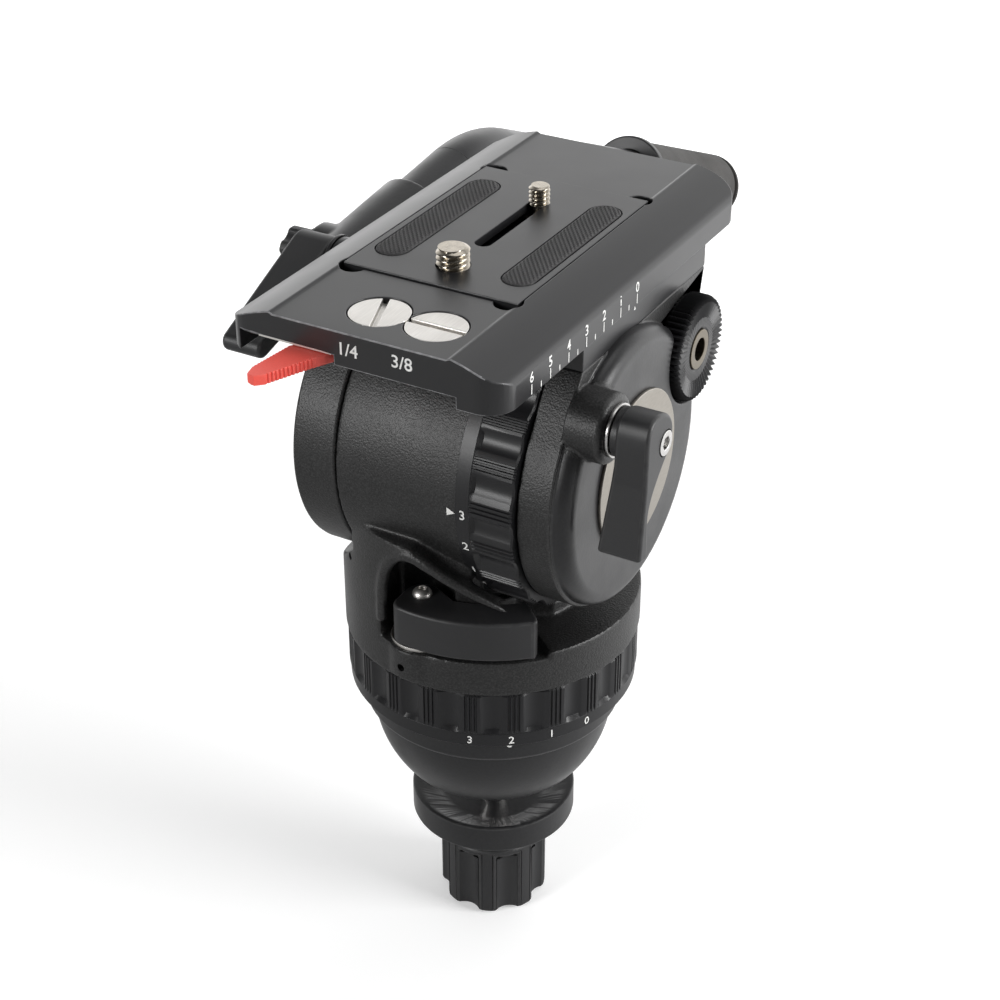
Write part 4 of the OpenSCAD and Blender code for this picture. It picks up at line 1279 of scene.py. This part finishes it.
@dataclass
class TiltGroup:
    """Tilt drag ring, yoke with its cheeks and rosettes, and the tilt lever."""

    number_step: float = 14.5  # Angle between the tilt ring's numbers
    number_h: float = 2.9  # Height of a printed number
    band_rise: float = 0.3  # How far the ring's number band stands above the drum
    ring_fit: float = 0.08  # Clearance of the ring on the drum's end plate
    skirt: float = 1.7  # How far the number band reaches over the drum
    skirt_fit: float = 0.06  # Clearance of that reach
    boss_r: float = 11.5  # Radius round the lever's axis inside which the right cheek is coated as the rest
    boss_bore: float = 7.0  # Radius that parts the boss's outer edge from its hole's edge
    boss_round: float = 1.8  # Rounding of that outer edge
    teeth: int = 52  # Number of teeth on a rosette
    tooth: float = 1.1  # Height of a tooth
    rosette_bore: float = 6.05  # Radius of a rosette's hole
    rosette_hub: float = 9.4  # Radius inside the teeth
    rosette_sunk: float = 0.8  # How far its middle lies below the teeth
    # Places round the tilt lever's head from its back edge, from its pivot, on Y and Z
    lever_head: tuple[Point, ...] = (
        (2.9, -3.3), (4.5, 0.6), (4.4, 4.2), (2.3, 7.4), (-1.4, 9.4), (-5.2, 10.0), (-8.3, 8.9), (-10.1, 6.2),
        (-10.7, 2.5), (-10.8, -3.0), (-10.9, -9.8))
    lever_tip: tuple[Point, ...] = ((-13.1, -30.6), (-8.3, -31.9))  # Its two tip corners
    # Places along its back edge, from the tip to the head
    lever_back: tuple[Point, ...] = ((-8.6, -22.0), (-8.5, -17.8), (-7.0, -13.9), (-4.0, -10.0), (-0.9, -6.8))
    lever_neck: float = -4.0  # Height below the pivot where its blade starts to widen
    lever_flare: float = 3.1  # How much wider the blade is at the tip than at the head
    lever_round: float = 1.1  # Rounding of its edges
    lever_hub_r: float = 7.0  # Radius of the hub between its washer and its head
    sink_r: float = 3.9  # Radius of the sunk place for its screw's head
    sink_depth: float = 3.6  # Depth of that place
    washer_bore: float = 2.6  # Radius of the hole in the washer behind it
    washer_r: float = 7.6  # Radius of that washer

    def build(self, pan: PanGroup) -> None:
        """Builds and dresses everything that tilts, apart from the plate.

        Args:
            pan: The housing, whose index mark the ring's numbers follow.
        """
        self.ring(pan.tilt_index_turn)
        softened("left_cheek", POWDER, 1.0, 3)
        self.right_cheek()
        softened("right_cover_disc", COVER, 0.3)
        washer("tilt_lever_washer", Axis.X, self.washer_bore, self.washer_r, STEEL)
        self.tilt_lever()
        softened("tilt_lever_screw", STEEL, 0.25)
        softened("plate_lever_boss", SATIN, 0.6)
        softened("plate_lever_washer", SATIN, 0.25)
        softened("plate_lock_lever", LEVER, 1.2, 3)
        softened("plate_lever_screw", STEEL, 0.25)
        self.rosette("right_rosette", 1.0)
        self.rosette("left_rosette", -1.0)
        softened("right_rosette_insert", BRASS, 0.3)
        softened("left_rosette_insert", BRASS, 0.3)
        softened("platform", ANODISED, 0.4)
        coat(STEEL, "tilt_axle", "cheek_screws")
        coat(BRASS, "tilt_brake_shoe")

    def ring(self, index_turn: float) -> None:
        """Builds the tilt drag ring and its numbers.

        Args:
            index_turn: Angle of the index mark.
        """
        low, high = span("tilt_drag_ring")
        axle, drum_r = drum()
        band = drum_r + self.band_rise
        bore = span("drum_end_plate")[1].z - axle.z + self.ring_fit
        ring = RibbedRing(Axis.X, (axle.y, axle.z), bore, band, high.z - axle.z, low.x,
                          low.x + BAND_W - self.skirt, high.x, self.skirt, drum_r + self.skirt_fit)
        ring.shape().piece("tilt_drag_ring.ribbed", "tilt_ring", RING, ["tilt_drag_ring"])
        numbers = Shape()
        for place, number in enumerate(DRAG_NUMBERS):
            turn = index_turn - self.number_step * place
            lay = on_tilt_ring(band + PRINT_LIFT, turn, low.x + BAND_W / 2.0 - self.skirt, axle.z)
            numbers.lettering(number, self.number_h, lay)
        numbers.printed("tilt_numbers", "tilt_ring")

    def right_cheek(self) -> None:
        """Builds the right cheek, whose round middle is smooth and whose lever boss is coated."""
        step = span("right_rosette")[0].x + 0.1
        end = span("right_cheek")[1].x - 0.05
        boss = middle("tilt_lever_screw")

        def from_boss(place: Vector) -> float:
            """Gives how far a place lies from the boss's axis."""
            return math.hypot(place.y - boss.y, place.z - boss.z)

        def boss_rim(edge: bmesh.types.BMEdge) -> bool:
            """Tells whether an edge is part of the boss's outer rim."""
            return min(v.co.x for v in edge.verts) > end and from_boss(edge.verts[0].co) > self.boss_bore
        shape = Shape.of_node("right_cheek").soften(self.boss_round, 4, 30.0, boss_rim).soften(0.6, 3, 32.0)
        cheek = shape.piece("right_cheek.skin", "yoke", POWDER, ["right_cheek"])
        cheek.data.materials.append(shop.material(SATIN))
        for face in cheek.data.polygons:
            place = face.center / MM
            if place.x > step and from_boss(place) > self.boss_r:
                face.material_index = 1

    def tilt_lever(self) -> None:
        """Builds the tilt lever: a round head on a hub, a blade that flares to its tip and a sunk screw."""
        low, high = span("tilt_lock_lever")
        pivot = middle("tilt_lever_screw")
        centre = (pivot.y, pivot.z)
        outline = flowing(self.lever_head) + list(self.lever_tip) + flowing(self.lever_back)
        tip = self.lever_tip[0][1]
        shares = [min(1.0, max(0.0, (z - tip) / (self.lever_neck - tip))) for _, z in outline]

        def point(i: int, j: int) -> Vector:
            """Gives one point of the lever's inner or outer face."""
            x = high.x if i else low.x + self.lever_flare * shares[j]
            return Vector((x, pivot.y + outline[j][0], pivot.z + outline[j][1]))
        sunk = [(self.sink_r, high.x - self.sink_depth), (self.sink_r, high.x + OVERCUT)]
        lever = Shape().surface(2, len(outline), point).soften(self.lever_round, 4, 40.0)
        lever.cut(Shape().turned(sunk, Axis.X, centre, 48))
        hub = [(self.lever_hub_r, low.x), (self.lever_hub_r, low.x + self.lever_flare + 1.0)]
        lever.turned(hub, Axis.X, centre, 64)
        lever.piece("tilt_lock_lever.arm", "tilt_lever", LEVER, ["tilt_lock_lever"])

    def rosette(self, node: str, side: float) -> None:
        """Builds a rosette with a bevelled, toothed rim.

        Args:
            node: Node that it replaces.
            side: 1 if its face looks along +X, or -1.
        """
        low, high = span(node)
        mid = middle(node)
        outer = (high.y - low.y) / 2.0
        back, face = (low.x, high.x) if side > 0 else (high.x, low.x)
        bore = self.rosette_bore
        sunk = face - side * self.rosette_sunk
        # Each row has its radius, its place along X, and the shares of a tooth's dip on its face and rim.
        rows = [(bore, back, 0.0, 0.0), (outer - self.tooth, back, 0.0, 0.0),
                (outer, back + side * 1.2, 0.0, 1.0), (outer, face - side * 1.8, 0.0, 1.0),
                (outer - 0.7, face - side * 0.4, 0.8, 0.9), (outer - 1.7, face, 0.9, 0.4),
                (self.rosette_hub, sunk, 0.15, 0.0), (bore + 0.7, sunk, 0.0, 0.0),
                (bore, sunk - side * 0.4, 0.0, 0.0)]
        dips = [share * self.tooth for share in (0.0, 0.5, 1.0, 0.5)] * self.teeth

        def point(i: int, j: int) -> Vector:
            """Gives one point of the rosette."""
            (r, along, on_face, on_rim), dip = rows[i], dips[j]
            return Axis.X.put(along - side * dip * on_face,
                              *around((mid.y, mid.z), r - dip * on_rim, j / len(dips)))
        shape = Shape().surface(len(rows), len(dips), point, close_rows=True)
        shape.piece(f"{node}.toothed", body_of(node), RING, [node], smooth=20.0)


@dataclass
class PlateGroup:
    """Sliding plate with its inlaid camera plate, screws, pads, key and printed scale."""

    edge: float = 0.35  # Softening of milled edges
    front_wear: float = 8.0  # How much more its front edges show the worn colour: partly wear, partly a painted highlight along them
    print_lift: float = 0.05  # How far print stands off the plate
    scale_zero: float = 6.5  # Place of the scale's zero along Y
    scale_step: float = 10.0  # Distance between the scale's numbers
    ticks: int = 13  # Number of long and short ticks
    tick_z: float = 0.5  # Height of the ticks' feet above the plate's lower edge
    tick_h: float = 2.9  # Height of a long tick
    tick_half: float = 0.2  # Half the width of a tick
    short_tick: float = 0.55  # Height of a short tick as a share of a long one
    print_z: float = 5.25  # Height of the numbers' middle above that edge
    print_h: float = 2.9  # Height of the scale's numbers
    # Screw sizes on the front, with their place along X and above the plate's lower edge
    sizes: tuple[tuple[str, float, float], ...] = (("1/4", -3.0, 8.5), ("3/8", 13.1, 8.9))
    sizes_h: float = 3.5  # Height of those numbers
    rail_in: float = 27.4  # Distance of a rail's crest from the middle
    rail_crown: float = 0.45  # How far a rail bulges between its edges
    shoulder_r: float = 3.0  # Rounding between the plate's side and its rail
    shoulder_z: float = 6.2  # Where that rounding starts, above the plate's lower edge
    pad_w: float = 10.2  # Width of a pad
    pad_gap: float = 0.4  # Width of the groove round it
    pad_cells: tuple[int, int] = (380, 66)  # Number of points along and across a pad
    pad_pitch: float = 1.45  # Size of the pads' diamonds
    pad_rise: float = 0.4  # Height of the pads' diamonds
    key_len: float = 24.0  # Length of the key from its pivot
    key_w: float = 9.0  # Width of the key at its pivot
    key_out: float = 73.0  # Angle that the key is swung out by
    key_teeth: Point = (1.15, 0.32)  # Distance and depth of the notches along its edges
    bare_left: float = 8.0  # How far the painted highlight line over the key's notch reaches left of the key
    bare_h: float = 0.5  # Height of that line
    bare_taper: float = 3.0  # Length over which it thins out to the right
    bare_lift: float = 0.3  # Its height above the key
    thread_share: float = 0.6  # Depth of a thread as a share of its pitch
    thread_rows: int = 10  # Number of rows of points in one turn of a thread
    neck_r: float = 2.2  # Largest radius of a camera screw's neck

    def build(self) -> None:
        """Builds and dresses everything that slides with the plate."""
        self.slide()
        self.bright_edge()
        softened("camera_plate", ANODISED, 0.25)
        softened("spare_screw_1_4", SPARE, 0.25)
        softened("spare_screw_3_8", SPARE, 0.25)
        self.pads()
        self.camera_screw("camera_screw_3_8", 4.7, 1.5875)
        self.camera_screw("camera_screw_1_4", 3.12, 1.27)
        self.key()
        coat(STEEL, "key_pin")
        self.scale()
        self.front_numbers()

    def slide(self) -> None:
        """Builds the sliding plate, whose rails are crowned and whose front edges show the worn colour
        brightest, partly as wear and partly as a painted highlight.
        """
        low, high = span("slide_plate")
        shape = Shape.of_node("slide_plate").soften(self.edge)
        inner, outer = self.rail_in, high.x - self.shoulder_r
        for side in (-1.0, 1.0):
            for share in (0.15, 0.3, 0.45, 0.6, 0.75, 0.9):
                place = RIGHT * side * (inner + (outer - inner) * share)
                bmesh.ops.bisect_plane(shape.bm, geom=[*shape.bm.verts, *shape.bm.edges, *shape.bm.faces],
                                       plane_co=place, plane_no=RIGHT, dist=0.001)
        for vert in shape.bm.verts:
            share = (abs(vert.co.x) - inner) / (outer - inner)
            if 0.0 < share < 1.0 and vert.co.z > low.z + self.shoulder_z:
                vert.co.z += self.rail_crown * 4.0 * share * (1.0 - share)
        # Front edges get the worn colour strongest: partly wear, partly a painted highlight along the plate's
        # front
        for face in shape.bm.faces:
            if face[shape.wear] > 0.0 and face.calc_center_median().y < low.y + 0.6:
                face[shape.wear] = self.front_wear
        shape.piece("slide_plate.skin", "plate", ANODISED, ["slide_plate"])

    def bright_edge(self) -> None:
        """Lays a bright metal line along the top of the key's notch: a painted highlight that stands in for
        the light caught by the notch's top edge.
        """
        front = span("slide_plate")[0].y - self.print_lift
        low, high = span("screw_key")
        lay = on_plane(Vector((low.x, front, high.z + self.bare_lift)), RIGHT, UP)
        left, right, top = -self.bare_left, high.x - low.x, self.bare_h
        outline = [(left, 0.0), (right, 0.0), (right, top / 2.0), (right - self.bare_taper, top), (left, top)]
        # Painted highlight: a flat bright strip on the front face, where the notch's top edge catches the
        # light
        Shape().flat(outline, lay).piece("key_notch.painted_highlight", "plate", SPARE, solid=False)

    def key(self) -> None:
        """Builds the screw key with its notched edges, swung out as it is found."""
        low, high = span("screw_key")
        pivot = middle("key_pin")
        w, reach = self.key_w, self.key_len
        inner = self.notched((0.3 * reach, -0.72 * w), (0.87 * reach, -0.43 * w))
        outer = self.notched((0.9 * reach, 0.22 * w), (0.3 * reach, 0.38 * w))
        tip = [(reach, -0.22 * w), (reach + 0.2, -0.08 * w), (reach, 0.07 * w)]
        outline = arc((0.0, 0.0), w / 2.0, 90, 270, 12) + inner + tip + outer
        turn = Matrix.Rotation(math.radians(180.0 + self.key_out), 2)
        placed = [tuple(turn @ Vector(place) + pivot.xy) for place in outline]
        key = Shape().prism(placed, Axis.Z, low.z, high.z).soften(0.35, 2, 60.0, is_level)
        key.piece("screw_key.notched", "key", KEY_RED, ["screw_key"])

    def notched(self, start: Point, end: Point) -> list[Point]:
        """Draws a straight edge with small notches.

        Args:
            start: Its first end, in the outline's direction.
            end: Its other end.

        Returns:
            Points along the edge, with the notches on its left hand.
        """
        pitch, depth = self.key_teeth
        first, way = Vector(start), Vector(end) - Vector(start)
        along = way.normalized()
        inward = Vector((-along.y, along.x))
        count = int(way.length / pitch)
        points = []
        for i in range(count):
            base = first + way * (i / count)
            points += [base, base + along * (0.5 * pitch), base + along * (0.72 * pitch) + inward * depth]
        return [(p.x, p.y) for p in points] + [end]

    def pads(self) -> None:
        """Builds the two rubber pads with raised diamonds."""
        low, high = span("grip_pads")
        mid_y = (low.y + high.y) / 2.0
        half_len = (high.y - low.y) / 2.0 - self.pad_gap
        width = self.pad_w - 2.0 * self.pad_gap
        top = high.z - self.pad_rise
        rows, columns = self.pad_cells
        shape = Shape()
        for side in (-1.0, 1.0):
            mid_x = side * (high.x - self.pad_w / 2.0)

            def point(i: int, j: int, mid_x: float = mid_x) -> Vector:
                """Gives one point of a pad.

                Args:
                    i: Row along the pad.
                    j: Column across it, of which the first and the last are the foot of its skirt.
                    mid_x: Middle of this pad.

                Returns:
                    The point.
                """
                u = -half_len + 2.0 * half_len * (i + 0.5) / rows
                round_part = max(0.0, abs(u) - (half_len - width / 2.0))
                half_w = math.sqrt(max(0.05, (width / 2.0) ** 2 - round_part ** 2))
                share = max(-1.0, min(1.0, -1.0 + 2.0 * (j - 1) / (columns - 3)))
                x, y = mid_x + share * half_w, mid_y + u
                inset = min(half_w - abs(share * half_w), half_len - abs(u))
                rise = self.pad_rise * self.diamond(x, y) * min(1.0, inset / 0.7)
                z = low.z + 0.1 if j in (0, columns - 1) else top + rise - 0.25 * max(0.0, 0.6 - inset)
                return Vector((x, y, z))
            shape.surface(rows, columns, point)
        shape.piece("grip_pads.knurled", "plate", RUBBER, ["grip_pads"], smooth=60.0)

    def diamond(self, x: float, y: float) -> float:
        """Works out the pads' knurl.

        Args:
            x: Place across the plate.
            y: Place along it.

        Returns:
            Height of the knurl, from 0 in its grooves to 1 on its tops.
        """
        ridges = [math.sin(math.pi * (x + slant * y) / self.pad_pitch) ** 2 for slant in (0.75, -0.75)]
        return min(1.0, 1.5 * ridges[0] * ridges[1])

    def camera_screw(self, node: str, radius: float, pitch: float) -> None:
        """Builds a camera screw with a cut thread and a softened tip.

        Args:
            node: Node that it replaces.
            radius: Radius over the thread.
            pitch: Pitch of the thread.
        """
        low, high = span(node)
        mid = middle(node)
        depth = self.thread_share * pitch
        head_r = (high.x - low.x) / 2.0
        steps = 64
        count = int((high.z - span("camera_plate")[1].z + 0.4) / pitch * self.thread_rows)
        start = high.z - count * pitch / self.thread_rows

        def point(i: int, j: int) -> Vector:
            """Gives one point of the thread.

            Args:
                i: Row from the foot to the tip.
                j: Column round the screw.

            Returns:
                The point.
            """
            z = start + i * pitch / self.thread_rows
            phase = (z / pitch - j / steps) % 1.0
            tooth = (0.5 - 0.5 * math.cos(2.0 * math.pi * phase)) ** 0.75
            tip = max(0.0, (z - (high.z - 0.8)) / 0.8)
            r = (radius - depth + depth * tooth) * (1.0 - 0.14 * tip * tip)
            return Axis.Z.put(z, *around((mid.x, mid.y), r, j / steps))
        shape = Shape().surface(count + 1, steps, point)
        neck = min(radius - depth, self.neck_r)
        shank = [(head_r, low.z), (head_r, low.z + 1.4), (neck, low.z + 1.5), (neck, start + 0.2)]
        shape.turned(shank, Axis.Z, (mid.x, mid.y), 48)
        shape.piece(f"{node}.threaded", body_of(node), NICKEL, [node], smooth=40.0)

    def beside(self, y: float, rise: float) -> Lay:
        """Gives a function that lays print on the plate's right side and round its shoulder.

        Args:
            y: Place of the print along the plate.
            rise: Its height above the plate's lower edge.

        Returns:
            The function.
        """
        low, high = span("slide_plate")

        def lay(u: float, v: float) -> Vector:
            """Lays one point."""
            over = max(0.0, rise + v - self.shoulder_z)
            drop = self.shoulder_r - math.sqrt(max(0.0, self.shoulder_r ** 2 - over ** 2))
            return Vector((high.x + self.print_lift - drop, y + u, low.z + rise + v))
        return lay

    def scale(self) -> None:
        """Prints the balance scale on the plate's right side and its index on the platform."""
        half = self.tick_half
        marks = Shape()
        for tick in range(self.ticks):
            y = self.scale_zero - self.scale_step * tick / 2.0
            number, short = divmod(tick, 2)
            tall = self.tick_h * self.short_tick if short else self.tick_h
            tick_line = [(-half, 0.0), (half, 0.0), (half, tall), (-half, tall)]
            marks.flat(tick_line, self.beside(y, self.tick_z))
            if not short:
                marks.lettering(str(number), self.print_h, self.beside(y, self.print_z))
        marks.printed("balance_scale", "plate")
        side = span("platform")[1].x + self.print_lift
        height = span("slide_plate")[0].z - 1.0
        lay = on_plane(Vector((side, self.scale_zero, height)), Vector((0.0, 1.0, 0.0)), UP)
        Shape().flat([(-0.5, -0.6), (0.5, -0.6), (0.0, 0.6)], lay).printed("balance_index", "yoke")

    def front_numbers(self) -> None:
        """Prints the screw sizes beside the key on the plate's front."""
        low = span("slide_plate")[0]
        numbers = Shape()
        for text, x, rise in self.sizes:
            lay = on_plane(Vector((x, low.y - self.print_lift, low.z + rise)), RIGHT, UP)
            numbers.lettering(text, self.sizes_h, lay)
        numbers.printed("screw_sizes", "plate")


@dataclass
class BarGroup:
    """Pan bar with its clamp, grip and knob."""

    cast_cell: float = 0.6  # Fineness of the clamp's surface
    cast_passes: int = 3  # How often that surface is smoothed

    def build(self) -> None:
        """Builds and dresses the pan bar."""
        clamp = Shape.of_node("bar_clamp").melt(self.cast_cell, self.cast_passes)
        clamp.piece("bar_clamp.cast", "bar", SATIN, ["bar_clamp"])
        softened("bar_tube", SATIN, 0.3)
        softened("bar_grip", GRIP, 0.8)
        softened("grip_ring", RING, 0.8, 3)
        softened("bar_end_cap", GRIP, 0.5)
        softened("clamp_bolt", STEEL, 0.4)
        softened("clamp_knob", LEVER, 0.8, 3)


@dataclass
class Studio:
    """Pale floor, soft light and the camera."""

    lens: float = 73.8  # Focal length on a 36 mm wide image
    eye: Place = (0.2568, -0.4525, 0.3833)  # Place of the camera, in metres
    right: Place = (0.8717, 0.4900, 0.0)  # Image right
    up: Place = (-0.2547, 0.4530, 0.8544)  # Image up
    back: Place = (0.4187, -0.7448, 0.5197)  # Direction from the object to the camera
    sky_front: float = 0.14  # Brightness of the surround in front of the object
    sky_back: float = 1.9  # Its brightness behind the object
    sky_top: float = 0.2  # Share of that brightness that is left overhead
    floor_size: float = 6.0  # Half the floor's side, in metres
    floor_gap: float = 0.0005  # How far the floor lies below the object, in metres
    floor_tone: float = 0.45  # Paleness of the floor for the light that it throws back
    floor_pale: float = 0.8  # Its paleness where the camera sees it
    floor_lift: float = 0.34  # Brightness that the floor gains round the object, where the camera sees it
    floor_fade: Point = (0.25, 0.9)  # Distances from the object between which that gain grows to 1, in metres
    floor_back: float = 1.3  # Brightness that it gains in reflections, behind the object
    # Name, place and side in metres, and power in watts of each soft lamp
    lamps: tuple[tuple[str, Place, float, float], ...] = (
        ("window", (-0.75, -1.55, 0.65), 0.6, 19.0), ("overhead", (0.1, 0.4, 1.6), 1.0, 4.0),
        ("side", (1.5, 0.3, 0.6), 0.8, 26.0))
    aim: Place = (0.0, 0.0, 0.1)  # Place that the lamps look at, in metres

    def build(self) -> None:
        """Sets up the whole studio."""
        bpy.context.scene.view_settings.view_transform = "Standard"
        self.camera()
        self.floor()
        self.world()
        for lamp in self.lamps:
            self.lamp(*lamp)

    def camera(self) -> None:
        """Puts the camera where the picture was taken from."""
        data = bpy.data.cameras.new("camera")
        data.lens = self.lens
        data.sensor_width = 36.0
        data.clip_start = 0.01
        eye = bpy.data.objects.new("camera", data)
        turn = Matrix((self.right, self.up, self.back)).transposed().to_4x4()
        eye.matrix_world = Matrix.Translation(self.eye) @ turn
        bpy.context.scene.collection.objects.link(eye)
        bpy.context.scene.camera = eye

    def floor(self) -> None:
        """Lays a pale floor that keeps the object's shadow."""
        bm = bmesh.new()
        bmesh.ops.create_grid(bm, x_segments=1, y_segments=1, size=self.floor_size)
        mesh = bpy.data.meshes.new("floor")
        bm.to_mesh(mesh)
        bm.free()
        mesh.materials.append(self.floor_look())
        floor = bpy.data.objects.new("floor", mesh)
        floor.location.z = CAD_BOX[0][2] - self.floor_gap
        bpy.context.scene.collection.objects.link(floor)

    def floor_look(self) -> bpy.types.Material:
        """Makes the floor's material.

        Returns:
            The material, which is lifted to white where the camera sees it away from the object.
        """
        look = bpy.data.materials.new("pale_floor")
        look.use_nodes = True
        tree = look.node_tree
        shader = tree.nodes["Principled BSDF"]
        shader.inputs["Roughness"].default_value = 0.9
        shader.inputs["Emission Color"].default_value = (1.0, 1.0, 1.0, 1.0)
        path = tree.nodes.new("ShaderNodeLightPath")
        where = tree.nodes.new("ShaderNodeTexCoord").outputs["Object"]
        place = tree.nodes.new("ShaderNodeSeparateXYZ")
        tree.links.new(where, place.inputs[0])
        apart = tree.nodes.new("ShaderNodeVectorMath")
        apart.operation = "LENGTH"
        tree.links.new(where, apart.inputs[0])
        behind = mapped(tree, place.outputs["Y"], -0.1, 0.5, 0.0, self.floor_back)
        lift = mapped(tree, apart.outputs["Value"], *self.floor_fade, self.floor_lift, 1.0)
        pale = worked(tree, "MULTIPLY", path.outputs["Is Camera Ray"], self.floor_pale - self.floor_tone)
        tree.links.new(worked(tree, "ADD", pale, self.floor_tone), shader.inputs["Base Color"])
        seen = worked(tree, "MULTIPLY", path.outputs["Is Camera Ray"], lift)
        mirrored = worked(tree, "MULTIPLY", path.outputs["Is Glossy Ray"], behind)
        tree.links.new(worked(tree, "ADD", seen, mirrored), shader.inputs["Emission Strength"])
        return look

    def world(self) -> None:
        """Makes a surround that is brightest low down behind the object, and looks plain white."""
        world = bpy.data.worlds.new("surround")
        bpy.context.scene.world = world
        world.use_nodes = True
        tree = world.node_tree
        sky = tree.nodes["Background"]
        way = tree.nodes.new("ShaderNodeSeparateXYZ")
        tree.links.new(tree.nodes.new("ShaderNodeTexCoord").outputs["Generated"], way.inputs[0])
        behind = mapped(tree, way.outputs["Y"], -0.25, 0.65, self.sky_front, self.sky_back)
        aloft = mapped(tree, way.outputs["Z"], 0.2, 0.8, 1.0, self.sky_top)
        seen = tree.nodes.new("ShaderNodeLightPath").outputs["Is Camera Ray"]
        strength = worked(tree, "MAXIMUM", worked(tree, "MULTIPLY", behind, aloft), seen)
        sky.inputs["Color"].default_value = (1.0, 1.0, 1.0, 1.0)
        tree.links.new(strength, sky.inputs["Strength"])

    def lamp(self, name: str, place: Place, size: float, power: float) -> None:
        """Adds a soft lamp that looks at the head.

        Args:
            name: Name of the lamp.
            place: Where it hangs, in metres.
            size: Side of its square face.
            power: Its power in watts.
        """
        data = bpy.data.lights.new(name, "AREA")
        data.size = size
        data.energy = power
        lamp = bpy.data.objects.new(name, data)
        lamp.location = place
        aim = Vector(self.aim) - Vector(place)
        lamp.rotation_euler = aim.to_track_quat("-Z", "Y").to_euler()
        bpy.context.scene.collection.objects.link(lamp)


def main() -> None:
    """Builds the studio and each group of the head in order."""
    logging.basicConfig(level=logging.INFO, format="%(name)s: %(message)s")
    Studio().build()
    base = BaseGroup()
    base.build()
    pan = PanGroup()
    pan.build(base)
    TiltGroup().build(pan)
    PlateGroup().build()
    BarGroup().build()


if __name__ == "__main__":
    main()
